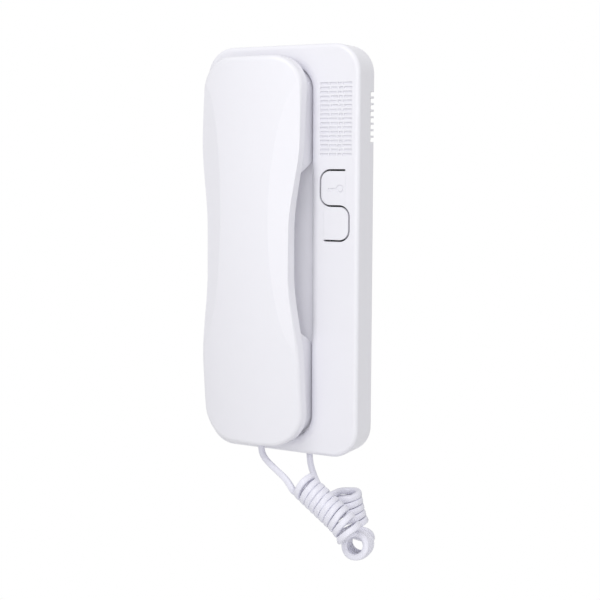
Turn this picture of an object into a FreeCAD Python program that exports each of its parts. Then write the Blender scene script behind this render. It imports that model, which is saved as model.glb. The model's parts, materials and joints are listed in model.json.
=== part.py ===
# Wall telephone with a lift-off handset, two flap keys and a curly cord.
# Millimetres. Origin at the middle of the wall face, +X right, -Y towards the room, +Z up.
import FreeCAD, Part
import math
import os

import Sketcher
from FreeCAD import Placement, Rotation, Vector

os.makedirs("parts", exist_ok=True)
doc = FreeCAD.newDocument("wall_telephone")
sheet = doc.addObject("Spreadsheet::Sheet", "Sizes")

# Driving dimensions. A depth is a distance from the wall.
SIZES = {
    # Cover of the base
    "base_width": 86.5,
    "base_height": 206,
    "base_depth": 20,
    "base_corner": 14.5,
    "base_edge_round": 2.3,
    "cover_wall": 2,
    "cover_lift": 2.8,
    # Trough that the handset lies in
    "trough_x": -9.25,
    "trough_z": -1.2,
    "trough_width": 51.1,
    "trough_length": 188.4,
    "trough_corner": 12.5,
    "trough_drop": 6,
    "trough_lip_round": 5,
    # Grille pattern
    "grille_left": 22.3,
    "grille_top": 84,
    "grille_rows": 17,
    "grille_pitch": 2.15,
    "grille_dash_height": 1.1,
    "grille_dash_drop": 0.6,
    "grille_gap": 0.8,
    "grille_first_dash": 4.1,
    "grille_second_dash": 3.8,
    "grille_third_dash": 1.9,
    "grille_fourth_dash": 4.9,
    # Side vents
    "vent_count": 8,
    "vent_pitch": 3.2,
    "vent_low": 56.3,
    "vent_height": 2.2,
    "vent_reach": 4,
    # Slit round the two flap keys
    "slit_left": 22.48,
    "slit_right": 38.25,
    "slit_top": 41.4,
    "slit_middle": 23.75,
    "slit_bottom": 6.56,
    "slit_radius": 5.27,
    "slit_width": 0.9,
    "slit_top_end": 35.7,
    "slit_bottom_end": 24.9,
    "pictogram_ring": 4,
    "pictogram_line": 0.7,
    "pictogram_drop": 0.35,
    "pictogram_x": 33.3,
    "pictogram_z": 32.2,
    "pictogram_reach": 6.6,
    # Wall plate
    "plate_thickness": 2.2,
    "plate_gap": 1,
    "plate_rim_height": 3.4,
    "plate_rim_wall": 1.6,
    "wall_screw_spacing": 60,
    "wall_screw_z": 10,
    "wall_screw_radius": 2.25,
    "wall_screw_slot": 12,
    "cable_inlet_width": 16,
    "cable_inlet_height": 24,
    # Screws that hold the cover and the board
    "screw_shank_radius": 1.1,
    "screw_head_radius": 2.3,
    "screw_head_height": 1.6,
    "screw_hole_gap": 0.15,
    "cover_screw_x": -12,
    "cover_screw_depth": 6,
    "cover_screw_length": 9,
    # Circuit board
    "board_left": 22.2,
    "board_right": 40.6,
    "board_low": -78,
    "board_high": 88,
    "board_back": 6,
    "board_thickness": 1.6,
    "board_screw_inset": 3.9,
    "board_boss_radius": 2.6,
    # Key switches and the bosses that press them
    "switch_side": 6,
    "switch_height": 4,
    "stem_radius": 1.75,
    "stem_rise": 2.4,
    "stem_seat": 0.6,
    "stem_bore_depth": 1.6,
    "running_gap": 0.05,
    "touch_gap": 0.3,
    "key_boss_radius": 1.5,
    "unlock_switch_x": 26.5,
    "unlock_switch_z": 32.5,
    "call_switch_x": 34,
    "call_switch_z": 15.1,
    # Ringer
    "ringer_x": 30.2,
    "ringer_z": 66,
    "ringer_radius": 9,
    "ringer_depth": 5,
    "ringer_wall": 0.8,
    "ringer_collar_wall": 1,
    "ringer_collar_height": 2.5,
    "ringer_magnet_radius": 4.5,
    "ringer_magnet_depth": 2.2,
    "cone_front_radius": 7.6,
    "cone_back_radius": 3,
    "cone_depth": 2.4,
    "cone_wall": 0.5,
    # Terminal block
    "terminal_z": -26,
    "terminal_count": 4,
    "terminal_pitch": 5,
    "terminal_width": 11,
    "terminal_height": 8,
    "terminal_well_radius": 1.8,
    "terminal_screw_radius": 1.6,
    "terminal_screw_length": 4,
    "terminal_clamp_side": 3,
    "terminal_wire_height": 3.4,
    # Hook lever under the trough, its pin, spring and switch
    "hook_z": -62,
    "hook_width": 5,
    "hook_pivot_x": 10,
    "hook_pivot_depth": 8.2,
    "hook_pin_radius": 1,
    "hook_hub_radius": 2.2,
    "hook_bar_low": 5.6,
    "hook_bar_high": 8.2,
    "hook_button_left": -8.5,
    "hook_button_right": -3.5,
    "hook_button_sink": 0.1,
    "hook_slot_left": -9.2,
    "hook_slot_right": -1.6,
    "hook_riser_left": 19.4,
    "hook_riser_right": 21.4,
    "hook_pad_right": 26.4,
    "hook_pad_low": 14.2,
    "hook_pad_high": 16.2,
    "hook_ear_thickness": 2,
    "hook_spring_x": -4.6,
    "hook_spring_radius": 1.7,
    "hook_spring_wire": 0.5,
    "hook_spring_turns": 4,
    "hook_switch_x": 24.8,
    "hook_switch_width": 4,
    "hook_switch_height": 3.5,
    "plunger_radius": 0.9,
    "plunger_seat": 0.5,
    "plunger_bore_depth": 3.3,
    # Pegs on the trough floor that locate the handset
    "peg_radius": 3.1,
    "peg_height": 4,
    "peg_reach": 52.5,
    "peg_gap": 0.5,
    # Cord bushings
    "base_exit_x": 11.8,
    "base_exit_depth": 10,
    "bushing_radius": 2.7,
    "bushing_flange": 1.4,
    "bushing_flange_thickness": 1.4,
    "bushing_stand_out": 0.8,
    "bushing_gap": 0.1,
    "handset_exit_rise": 2.4,
    "handset_bushing_radius": 2.2,
    # Handset. A rise is a distance in front of the cover's front face.
    "handset_top": 97,
    "handset_bottom": 97.5,
    "upper_half_width": 27.8,
    "waist_half_width": 23.2,
    "lower_half_width": 28.2,
    "upper_corner": 16,
    "lower_corner": 18,
    "waist_blend": 110,
    "upper_lobe_end": 50,
    "waist_top": 19,
    "waist_bottom": 17,
    "lower_lobe_end": 50,
    "handset_rise": 22.3,
    "handset_arch": 810,
    "handset_crown": 75,
    "front_shell_depth": 11,
    "front_edge_round": 2.5,
    "handset_wall": 2,
    "scoop_slope": 21,
    "scoop_offset": 25.05,
    "scoop_arch": 2570,
    "scoop_z": -36.2,
    "rear_plate_thickness": 1.6,
    "rear_plate_gap": 0.15,
    "cup_gap": 0.85,
    "cup_wall": 1.8,
    "cup_foot": 46,
    "cup_ramp": 36,
    "cup_ramp_rise": 14,
    "handset_screw_z": 26,
    "handset_screw_length": 6,
    "handset_boss_radius": 3,
    "handset_boss_cap": 3,
    # Receiver and microphone
    "receiver_z": 74,
    "receiver_radius": 14,
    "receiver_depth": 6,
    "receiver_wall": 1,
    "receiver_magnet_radius": 8,
    "receiver_magnet_depth": 4,
    "diaphragm_thickness": 0.4,
    "gasket_thickness": 1,
    "gasket_width": 2.5,
    "ear_hole_radius": 1,
    "ear_hole_ring": 6,
    "ear_hole_count": 6,
    "microphone_z": -76,
    "microphone_radius": 4.85,
    "microphone_depth": 5,
    "microphone_hole_radius": 1.2,
    "boot_wall": 1.4,
    # Curly cord
    "cord_diameter": 3.2,
    "coil_radius": 5.7,
    "coil_pitch": 3.6,
    "coil_fold_play": 1.25,
    "coil_lead_bend": 4.5,
    "lead_handset_run": 4.5,
    "lead_coil_run": 5,
    "lead_base_run": 4.2,
}

for row, (name, value) in enumerate(SIZES.items(), start=1):
    sheet.set("A%d" % row, name)
    sheet.set("B%d" % row, str(value))
    sheet.setAlias("B%d" % row, name)
doc.recompute()


class Size:
    """A length held both as a number and as an expression on the sheet."""

    def __init__(self, number, text):
        self.number = number
        self.text = text

    def __float__(self):
        return self.number

    def __add__(self, other):
        other = as_size(other)
        return Size(self.number + other.number, "(%s + %s)" % (self.text, other.text))

    def __sub__(self, other):
        other = as_size(other)
        return Size(self.number - other.number, "(%s - %s)" % (self.text, other.text))

    def __mul__(self, other):
        other = as_size(other)
        return Size(self.number * other.number, "(%s * %s)" % (self.text, other.text))

    def __truediv__(self, other):
        other = as_size(other)
        return Size(self.number / other.number, "(%s / %s)" % (self.text, other.text))

    def __radd__(self, other):
        return as_size(other) + self

    def __rsub__(self, other):
        return as_size(other) - self

    def __rmul__(self, other):
        return as_size(other) * self

    def __neg__(self):
        return 0 - self


def as_size(item):
    """A plain number becomes a constant size."""
    if isinstance(item, Size):
        return item
    return Size(float(item), repr(float(item)))


class Bound:
    """Sizes by name, each tied to its cell."""

    def __getattr__(self, name):
        return Size(float(sheet.get(name)), "Sizes." + name)


class Plain:
    """Sizes by name as plain numbers, for shapes made by functions."""

    def __getattr__(self, name):
        return float(sheet.get(name))


s = Bound()
n = Plain()
nodes = []


def bind(obj, **properties):
    """Tie an object's properties to the sheet."""
    for name, item in properties.items():
        obj.setExpression(name, as_size(item).text)


def place(obj, x, y, z, rotation=None):
    """Place an object at three bound distances, turned by a fixed rotation."""
    if rotation is not None:
        obj.Placement = Placement(Vector(0, 0, 0), rotation)
    for axis, item in zip("xyz", (x, y, z)):
        obj.setExpression("Placement.Base." + axis, as_size(item).text)


TO_WALL = Rotation(Vector(1, 0, 0), -90)


def block(name, across, depth, up):
    """A box between two x, two depths from the wall and two z."""
    box = doc.addObject("Part::Box", name)
    bind(box, Length=across[1] - across[0], Width=depth[1] - depth[0], Height=up[1] - up[0])
    place(box, across[0], -as_size(depth[1]), up[0])
    return box


def rod_out(name, radius, x, z, depth):
    """A cylinder along Y between two depths from the wall."""
    rod = doc.addObject("Part::Cylinder", name)
    bind(rod, Radius=radius, Height=depth[1] - depth[0])
    place(rod, x, -as_size(depth[1]), z, TO_WALL)
    return rod


def rod_up(name, radius, x, depth, up):
    """A cylinder along Z between two heights."""
    rod = doc.addObject("Part::Cylinder", name)
    bind(rod, Radius=radius, Height=up[1] - up[0])
    place(rod, x, -as_size(depth), up[0])
    return rod


def fused(name, pieces):
    """Several shapes as one."""
    union = doc.addObject("Part::MultiFuse", name)
    union.Shapes = pieces
    union.Refine = True
    return union


def cut(name, base, tool):
    """A shape with another taken out of it."""
    result = doc.addObject("Part::Cut", name)
    result.Base = base
    result.Tool = tool
    return result


def group(name, pieces):
    """Separate solids that share one node."""
    compound = doc.addObject("Part::Compound", name)
    compound.Links = pieces
    return compound


def made(name, shape):
    """A shape from Part's own functions as a document object."""
    feature = doc.addObject("Part::Feature", name)
    feature.Shape = shape
    return feature


def node(obj, label):
    """Register an object as a sub-part of the telephone."""
    obj.Label = label
    nodes.append(obj)
    return obj


# Sketch and PartDesign helpers
def new_body(name):
    body = doc.addObject("PartDesign::Body", name)
    return body


def sketch_on(body, name, depth=0, x=0, z=0):
    """A sketch parallel to the wall, at a depth from it and centred at x and z."""
    sketch = body.newObject("Sketcher::SketchObject", name)
    plane = next(f for f in body.Origin.OriginFeatures if f.Role == "XZ_Plane")
    sketch.AttachmentSupport = [(plane, "")]
    sketch.MapMode = "FlatFace"
    for axis, item in zip("xyz", (x, z, depth)):
        sketch.setExpression("AttachmentOffset.Base." + axis, as_size(item).text)
    return sketch


def drive(sketch, size, *what):
    """A driving constraint tied to the sheet."""
    index = sketch.addConstraint(Sketcher.Constraint(*what, float(size)))
    sketch.setExpression("Constraints[%d]" % index, as_size(size).text)


def add_rectangle(sketch, width, height):
    """A rectangle about the sketch's centre."""
    w = float(width) / 2
    h = float(height) / 2
    corners = [Vector(-w, -h, 0), Vector(w, -h, 0), Vector(w, h, 0), Vector(-w, h, 0)]
    first = sketch.GeometryCount
    for i in range(4):
        sketch.addGeometry(Part.LineSegment(corners[i], corners[(i + 1) % 4]))
    for i in range(4):
        pair = (first + i, 2, first + (i + 1) % 4, 1)
        sketch.addConstraint(Sketcher.Constraint("Coincident", *pair))
    for i in (0, 2):
        sketch.addConstraint(Sketcher.Constraint("Horizontal", first + i))
        sketch.addConstraint(Sketcher.Constraint("Vertical", first + i + 1))
    sketch.addConstraint(Sketcher.Constraint("Symmetric", first, 1, first + 2, 1, -1, 1))
    drive(sketch, width, "DistanceX", first, 1, first, 2)
    drive(sketch, height, "DistanceY", first + 1, 1, first + 1, 2)


def add_rounded_rectangle(sketch, width, height, radius):
    """A rectangle with round corners about the sketch's centre."""
    w = float(width) / 2
    h = float(height) / 2
    r = float(radius)
    first = sketch.GeometryCount
    turn = math.pi / 2
    for i, (x, y) in enumerate(((w - r, h - r), (r - w, h - r), (r - w, r - h), (w - r, r - h))):
        circle = Part.Circle(Vector(x, y, 0), Vector(0, 0, 1), r)
        sketch.addGeometry(Part.ArcOfCircle(circle, i * turn, (i + 1) * turn))
    ends = [((w - r, h), (r - w, h)), ((-w, h - r), (-w, r - h)),
            ((r - w, -h), (w - r, -h)), ((w, r - h), (w, h - r))]
    for start, end in ends:
        sketch.addGeometry(Part.LineSegment(Vector(*start, 0), Vector(*end, 0)))
    for i in range(4):
        line = first + 4 + i
        sketch.addConstraint(Sketcher.Constraint("Tangent", first + i, 2, line, 1))
        sketch.addConstraint(Sketcher.Constraint("Tangent", line, 2, first + (i + 1) % 4, 1))
    for i in (1, 2, 3):
        sketch.addConstraint(Sketcher.Constraint("Equal", first, first + i))
    sketch.addConstraint(Sketcher.Constraint("Horizontal", first + 4))
    sketch.addConstraint(Sketcher.Constraint("Vertical", first + 5))
    sketch.addConstraint(Sketcher.Constraint("Symmetric", first, 3, first + 2, 3, -1, 1))
    drive(sketch, radius, "Radius", first)
    drive(sketch, width - 2 * radius, "DistanceX", first + 4, 2, first + 4, 1)
    drive(sketch, height - 2 * radius, "DistanceY", first + 5, 2, first + 5, 1)


def add_circle(sketch, radius):
    """A circle about the sketch's centre."""
    first = sketch.GeometryCount
    sketch.addGeometry(Part.Circle(Vector(0, 0, 0), Vector(0, 0, 1), float(radius)))
    sketch.addConstraint(Sketcher.Constraint("Coincident", first, 3, -1, 1))
    drive(sketch, radius, "Radius", first)


def add_slot(sketch, radius, length):
    """An upright slot with round ends about the sketch's centre, by its whole length."""
    r = float(radius)
    h = float(length) / 2 - r
    first = sketch.GeometryCount
    for y, start in ((h, 0), (-h, math.pi)):
        circle = Part.Circle(Vector(0, y, 0), Vector(0, 0, 1), r)
        sketch.addGeometry(Part.ArcOfCircle(circle, start, start + math.pi))
    sketch.addGeometry(Part.LineSegment(Vector(-r, h, 0), Vector(-r, -h, 0)))
    sketch.addGeometry(Part.LineSegment(Vector(r, -h, 0), Vector(r, h, 0)))
    for arc, line in ((0, 2), (1, 3)):
        other = 1 - arc
        sketch.addConstraint(Sketcher.Constraint("Tangent", first + arc, 2, first + line, 1))
        sketch.addConstraint(Sketcher.Constraint("Tangent", first + line, 2, first + other, 1))
    sketch.addConstraint(Sketcher.Constraint("Symmetric", first, 3, first + 1, 3, -1, 1))
    sketch.addConstraint(Sketcher.Constraint("Vertical", first + 2))
    drive(sketch, radius, "Radius", first)
    drive(sketch, length - 2 * radius, "DistanceY", first + 1, 3, first, 3)


def pad(body, name, sketch, length, to_wall=False):
    """Material from a sketch, towards the room or towards the wall."""
    feature = body.newObject("PartDesign::Pad", name)
    feature.Profile = sketch
    feature.Reversed = to_wall
    bind(feature, Length=length)
    return feature


def pocket(body, name, sketch, length, to_wall=True):
    """A pocket from a sketch, towards the wall or towards the room."""
    before = solid_volume(body)
    feature = body.newObject("PartDesign::Pocket", name)
    feature.Profile = sketch
    feature.Reversed = not to_wall
    bind(feature, Length=length)
    assert solid_volume(body) < before, name + " cuts nothing"
    return feature


def solid_volume(body):
    doc.recompute()
    return body.Shape.Volume


def fillet(body, name, radius, test):
    """Round the edges of the body's tip that pass a test."""
    doc.recompute()
    tip = body.Tip
    names = ["Edge%d" % (i + 1) for i, edge in enumerate(tip.Shape.Edges) if test(edge)]
    feature = body.newObject("PartDesign::Fillet", name)
    feature.Base = (tip, names)
    bind(feature, Radius=radius)
    return feature


def depth_of(edge):
    """The depth of an edge parallel to the wall, or None."""
    box = edge.BoundBox
    if box.YLength > 1e-4:
        return None
    return -box.YMin


def near(edge, depth):
    found = depth_of(edge)
    return found is not None and abs(found - depth) < 1e-3


def within(edge, x, z, half_width, half_height):
    """True for an edge inside a rectangle seen from the front."""
    box = edge.BoundBox
    return (abs(box.Center.x - x) + box.XLength / 2 < half_width
            and abs(box.Center.z - z) + box.ZLength / 2 < half_height)


# Path helpers for shapes made by functions
def rounded_wire(points, radii, closed=False):
    """Straight runs joined by tangent arcs, with a radius for each corner."""
    count = len(points)
    corners = range(count) if closed else range(1, count - 1)
    ends = {}
    for i in corners:
        if radii[i] == 0:
            continue
        here = points[i]
        back = (points[i - 1] - here).normalize()
        ahead = (points[(i + 1) % count] - here).normalize()
        half = (math.pi - back.getAngle(ahead)) / 2
        reach = radii[i] * math.tan(half)
        middle = here + (back + ahead).normalize() * radii[i] * (1 / math.cos(half) - 1)
        ends[i] = (here + back * reach, middle, here + ahead * reach)
    edges = []
    for i in range(count if closed else count - 1):
        j = (i + 1) % count
        start = ends[i][2] if i in ends else points[i]
        end = ends[j][0] if j in ends else points[j]
        if (end - start).Length > 1e-6:
            edges.append(Part.LineSegment(start, end).toShape())
        if j in ends:
            edges.append(Part.Arc(*ends[j]).toShape())
    return Part.Wire(edges)


def prism(wire, depth):
    """A flat outline carried from one depth to another."""
    face = Part.Face(wire)
    face.translate(Vector(0, -depth[0], 0))
    return face.extrude(Vector(0, depth[0] - depth[1], 0))


def flat(x, z):
    return Vector(x, 0, z)


# Depths that several pieces share
web_back = s.base_depth - s.cover_wall
trough_floor = s.base_depth - s.trough_drop
trough_floor_back = trough_floor - s.cover_wall
board_front = s.board_back + s.board_thickness
switch_front = board_front + s.switch_height
stem_front = switch_front + s.stem_rise
inner_width = s.base_width - 2 * s.cover_wall
inner_height = s.base_height - 2 * s.cover_wall
inner_corner = s.base_corner - s.cover_wall
hook_low = s.hook_z - s.hook_width / 2
hook_high = s.hook_z + s.hook_width / 2
bottom_face = -s.base_height / 2


# Slit and flap regions, seen from the front
def slit_path():
    """Centre line of the S slit, from its upper end to its lower end."""
    points = [flat(n.slit_top_end, n.slit_top), flat(n.slit_left, n.slit_top),
              flat(n.slit_left, n.slit_middle), flat(n.slit_right, n.slit_middle),
              flat(n.slit_right, n.slit_bottom), flat(n.slit_bottom_end, n.slit_bottom)]
    return rounded_wire(points, [n.slit_radius] * len(points))


def slit_face():
    return Part.Face(slit_path().makeOffset2D(n.slit_width / 2, 0, False, False, False))


unlock_hinge_x = s.slit_top_end + s.slit_width / 2
call_hinge_x = s.slit_bottom_end - s.slit_width / 2


def half_plane(x, side):
    """A large area on one side of a hinge line."""
    far = x + side * n.base_width
    points = [flat(x, -n.base_height), flat(far, -n.base_height), flat(far, n.base_height),
              flat(x, n.base_height)]
    return Part.Face(Part.makePolygon(points + points[:1]))


def window_faces():
    """Both flap areas, each up to the slit's centre line."""
    r = n.slit_radius
    far = 2 * n.slit_right
    upper = Part.Face(rounded_wire(
        [flat(far, n.slit_top), flat(n.slit_left, n.slit_top), flat(n.slit_left, n.slit_middle),
         flat(n.slit_right, n.slit_middle), flat(n.slit_right, n.slit_bottom),
         flat(far, n.slit_bottom)], [0, r, r, r, 0, 0], True))
    lower = Part.Face(rounded_wire(
        [flat(-far, n.slit_bottom), flat(n.slit_right, n.slit_bottom),
         flat(n.slit_right, n.slit_middle), flat(n.slit_left, n.slit_middle),
         flat(n.slit_left, n.slit_top), flat(-far, n.slit_top)], [0, r, r, r, 0, 0], True))
    upper = upper.common(half_plane(float(unlock_hinge_x), -1))
    lower = lower.common(half_plane(float(call_hinge_x), 1))
    return upper, lower


def raised(face, depth):
    """A flat area carried from one depth to another."""
    moved = face.copy()
    moved.translate(Vector(0, -depth[0], 0))
    return moved.extrude(Vector(0, depth[0] - depth[1], 0))


web_span = (float(web_back), n.base_depth)


def flap_shape(face):
    return raised(face.cut(slit_face()), web_span).Solids[0]


def window_shape():
    """The opening in the cover: both flaps and the slit round them."""
    overrun = n.cover_wall
    span = (web_span[0] - overrun, web_span[1] + overrun)
    shapes = [raised(face, span) for face in window_faces()]
    return shapes[0].fuse([shapes[1], raised(slit_face(), span)]).removeSplitter()


# Front cover
def grille_shape():
    """Short dashes in four columns, each row shifted like bricks."""
    columns = []
    left = n.grille_left
    for length in (n.grille_first_dash, n.grille_second_dash, n.grille_third_dash,
                   n.grille_fourth_dash):
        columns.append((left, left + length))
        left += length + n.grille_gap
    dashes = []
    for row in range(int(n.grille_rows)):
        z = n.grille_top - row * n.grille_pitch - n.grille_dash_height
        shift = n.grille_gap if row % 2 else 0
        for i, (left, right) in enumerate(columns):
            start = left + (shift if i > 0 else 0)
            end = right + (shift if i < len(columns) - 1 else 0)
            corner = Vector(start, -n.base_depth, z)
            dashes.append(Part.makeBox(end - start, n.grille_dash_drop, n.grille_dash_height, corner))
    return Part.makeCompound(dashes)


def vent_shape():
    """Notches in the rear edge of the right side."""
    notches = []
    for i in range(int(n.vent_count)):
        corner = Vector(n.base_width / 2 - 2 * n.cover_wall, -n.cover_lift - n.vent_reach,
                        n.vent_low + i * n.vent_pitch - n.vent_height / 2)
        notches.append(Part.makeBox(3 * n.cover_wall, n.cover_lift + n.vent_reach, n.vent_height,
                                    corner))
    return Part.makeCompound(notches)


def make_hollow():
    """The room inside the cover, with the trough's jacket standing in it."""
    body = new_body("cover_hollow")
    outline = sketch_on(body, "hollow_outline", -s.cover_wall)
    add_rounded_rectangle(outline, inner_width, inner_height, inner_corner)
    pad(body, "hollow_block", outline, web_back + s.cover_wall)
    jacket = sketch_on(body, "jacket_outline", web_back, s.trough_x, s.trough_z)
    add_rounded_rectangle(jacket, s.trough_width + 2 * s.cover_wall,
                          s.trough_length + 2 * s.cover_wall, s.trough_corner + s.cover_wall)
    pocket(body, "jacket", jacket, web_back - trough_floor_back)
    reach = (n.trough_x, n.trough_z, n.trough_width / 2 + 2 * n.cover_wall,
             n.trough_length / 2 + 2 * n.cover_wall)
    fillet(body, "jacket_edge", s.trough_lip_round - s.cover_wall,
           lambda e: near(e, float(web_back)) and within(e, *reach))
    return body


def make_front_cover():
    body = new_body("cover_shell")
    outline = sketch_on(body, "cover_outline", s.cover_lift)
    add_rounded_rectangle(outline, s.base_width, s.base_height, s.base_corner)
    pad(body, "cover_block", outline, s.base_depth - s.cover_lift)
    fillet(body, "cover_front_edge", s.base_edge_round, lambda e: near(e, n.base_depth))

    trough = sketch_on(body, "trough_outline", s.base_depth, s.trough_x, s.trough_z)
    add_rounded_rectangle(trough, s.trough_width, s.trough_length, s.trough_corner)
    pocket(body, "trough", trough, s.trough_drop)
    reach = (n.trough_x, n.trough_z, n.trough_width / 2 + 1, n.trough_length / 2 + 1)
    fillet(body, "trough_lip", s.trough_lip_round,
           lambda e: near(e, n.base_depth) and within(e, *reach))

    for side, z in (("upper", s.peg_reach), ("lower", -s.peg_reach)):
        peg = sketch_on(body, side + "_peg_outline", trough_floor, s.trough_x, z)
        add_circle(peg, s.peg_radius)
        pad(body, side + "_peg", peg, s.peg_height)

    slot = sketch_on(body, "hook_slot_outline", trough_floor,
                     (s.hook_slot_left + s.hook_slot_right) / 2, s.hook_z)
    add_rectangle(slot, s.hook_slot_right - s.hook_slot_left, s.hook_width + 4 * s.touch_gap)
    pocket(body, "hook_slot", slot, s.trough_drop)

    radius = s.ringer_radius + s.touch_gap
    depths = (web_back - s.ringer_collar_height, web_back + s.cover_wall / 2)
    collar = cut("ringer_collar",
                 rod_out("ringer_collar_disc", radius + s.ringer_collar_wall, s.ringer_x,
                         s.ringer_z, depths),
                 rod_out("ringer_collar_hole", radius, s.ringer_x, s.ringer_z,
                         (depths[0] - s.cover_wall, web_back)))
    shell = fused("cover_with_collar", [cut("cover_hollowed", body, make_hollow()), collar])

    exit_hole = rod_up("base_exit_hole", s.bushing_radius + s.bushing_gap, s.base_exit_x,
                       s.base_exit_depth, (bottom_face - s.cover_wall, bottom_face + 2 * s.cover_wall))
    screw_hole = rod_up("cover_screw_hole", s.screw_shank_radius + s.screw_hole_gap,
                        s.cover_screw_x, s.cover_screw_depth,
                        (bottom_face - s.cover_wall, bottom_face + 2 * s.cover_wall))
    tools = fused("cover_openings", [made("key_window", window_shape()),
                                     made("side_vents", vent_shape()),
                                     made("grille_dashes", grille_shape()), exit_hole, screw_hole])
    node(cut("front_cover", shell, tools), "front_cover")


make_front_cover()


# Wall plate with the bosses, ears and screw slots
def make_wall_plate():
    body = new_body("plate_body")
    shrink = 2 * s.plate_gap
    outline = sketch_on(body, "plate_outline")
    add_rounded_rectangle(outline, inner_width - shrink, inner_height - shrink,
                          inner_corner - s.plate_gap)
    pad(body, "plate", outline, s.plate_thickness)
    rim = sketch_on(body, "plate_rim_outline", s.plate_thickness)
    add_rounded_rectangle(rim, inner_width - shrink, inner_height - shrink,
                          inner_corner - s.plate_gap)
    inset = shrink + 2 * s.plate_rim_wall
    add_rounded_rectangle(rim, inner_width - inset, inner_height - inset,
                          inner_corner - s.plate_gap - s.plate_rim_wall)
    pad(body, "plate_rim", rim, s.plate_rim_height)
    inlet = sketch_on(body, "cable_inlet_outline", s.plate_thickness, s.trough_x, s.wall_screw_z)
    add_rectangle(inlet, s.cable_inlet_width, s.cable_inlet_height)
    pocket(body, "cable_inlet", inlet, s.plate_thickness)
    for side, sign in (("upper", 1), ("lower", -1)):
        z = s.wall_screw_z + sign * s.wall_screw_spacing / 2
        slot = sketch_on(body, side + "_wall_slot_outline", s.plate_thickness, s.trough_x, z)
        add_slot(slot, s.wall_screw_radius, s.wall_screw_slot)
        pocket(body, side + "_wall_slot", slot, s.plate_thickness)

    extras = [body]
    bores = []
    for i, (x, z) in enumerate(board_screw_places()):
        extras.append(rod_out("board_boss_%d" % i, s.board_boss_radius, x, z,
                              (s.plate_thickness / 2, s.board_back)))
        bores.append(rod_out("board_boss_bore_%d" % i, s.screw_shank_radius + s.screw_hole_gap,
                             x, z, (s.plate_thickness, s.board_back + s.cover_wall)))
    ear_top = s.hook_pivot_depth + s.hook_hub_radius
    for side, z in (("lower", hook_low - s.touch_gap - s.hook_ear_thickness),
                    ("upper", hook_high + s.touch_gap)):
        extras.append(block("hook_ear_" + side,
                            (s.hook_pivot_x - s.hook_hub_radius, s.hook_pivot_x + s.hook_hub_radius),
                            (s.plate_thickness / 2, ear_top), (z, z + s.hook_ear_thickness)))
    bores.append(rod_up("hook_ear_bore", s.hook_pin_radius + s.running_gap, s.hook_pivot_x,
                        s.hook_pivot_depth,
                        (hook_low - 2 * s.hook_ear_thickness, hook_high + 2 * s.hook_ear_thickness)))
    boss_top = bottom_face + s.cover_wall + s.plate_gap + s.cover_screw_length
    extras.append(block("cover_screw_boss",
                        (s.cover_screw_x - s.screw_head_radius - s.screw_hole_gap,
                         s.cover_screw_x + s.screw_head_radius + s.screw_hole_gap),
                        (s.plate_thickness / 2, s.cover_screw_depth + s.screw_head_radius),
                        (bottom_face + s.cover_wall + s.touch_gap, boss_top)))
    bores.append(rod_up("cover_screw_bore", s.screw_shank_radius + s.screw_hole_gap,
                        s.cover_screw_x, s.cover_screw_depth,
                        (bottom_face, boss_top - s.cover_wall)))
    for i, x in enumerate((-s.base_width / 4, s.base_width / 4)):
        top = s.base_height / 2 - s.cover_wall
        extras.append(block("cover_hook_%d" % i, (x - s.hook_width / 2, x + s.hook_width / 2),
                            (s.plate_thickness / 2, s.plate_thickness + s.plate_rim_height),
                            (top - s.plate_gap - s.plate_rim_wall, top - s.touch_gap)))
    whole = fused("plate_and_bosses", extras)
    node(cut("wall_plate", whole, fused("plate_bores", bores)), "wall_plate")


def board_screw_places():
    inset = s.board_screw_inset
    return [(x, z) for x in (s.board_left + inset, s.board_right - inset)
            for z in (s.board_low + inset, s.board_high - inset)]


make_wall_plate()


# Screws
def screw_out(name, x, z, seat_depth, length):
    """A screw along Y whose head sits on a face at a depth from the wall."""
    head = rod_out(name + "_head", s.screw_head_radius, x, z,
                   (seat_depth, seat_depth + s.screw_head_height))
    slot = block(name + "_slot", (x - s.screw_head_radius, x + s.screw_head_radius),
                 (seat_depth + s.screw_head_height / 2, seat_depth + 2 * s.screw_head_height),
                 (z - s.screw_hole_gap * 2, z + s.screw_hole_gap * 2))
    shank = rod_out(name + "_shank", s.screw_shank_radius, x, z,
                    (seat_depth - length, seat_depth))
    return cut(name, fused(name + "_blank", [head, shank]), slot)


def make_board():
    body = new_body("circuit_board")
    outline = sketch_on(body, "board_outline", s.board_back, (s.board_left + s.board_right) / 2,
                        (s.board_low + s.board_high) / 2)
    add_rectangle(outline, s.board_right - s.board_left, s.board_high - s.board_low)
    pad(body, "board", outline, s.board_thickness)
    for i, (x, z) in enumerate(board_screw_places()):
        hole = sketch_on(body, "board_hole_outline_%d" % i, board_front, x, z)
        add_circle(hole, s.screw_shank_radius + s.screw_hole_gap)
        pocket(body, "board_hole_%d" % i, hole, s.board_thickness)
    node(body, "circuit_board")
    length = s.board_thickness + s.board_back - s.plate_thickness - s.touch_gap
    screws = [screw_out("board_screw_%d" % i, x, z, board_front, length)
              for i, (x, z) in enumerate(board_screw_places())]
    node(group("board_screw_group", screws), "board_screws")


make_board()


def make_cover_screw():
    head = rod_up("cover_screw_head", s.screw_head_radius, s.cover_screw_x, s.cover_screw_depth,
                  (bottom_face - s.screw_head_height, bottom_face))
    shank = rod_up("cover_screw_shank", s.screw_shank_radius, s.cover_screw_x,
                   s.cover_screw_depth, (bottom_face, bottom_face + s.cover_screw_length))
    slot = block("cover_screw_slot",
                 (s.cover_screw_x - s.screw_head_radius, s.cover_screw_x + s.screw_head_radius),
                 (s.cover_screw_depth - s.screw_hole_gap * 2,
                  s.cover_screw_depth + s.screw_hole_gap * 2),
                 (bottom_face - 2 * s.screw_head_height, bottom_face - s.screw_head_height / 2))
    node(cut("cover_screw_cut", fused("cover_screw_blank", [head, shank]), slot), "cover_screw")


make_cover_screw()


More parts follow.
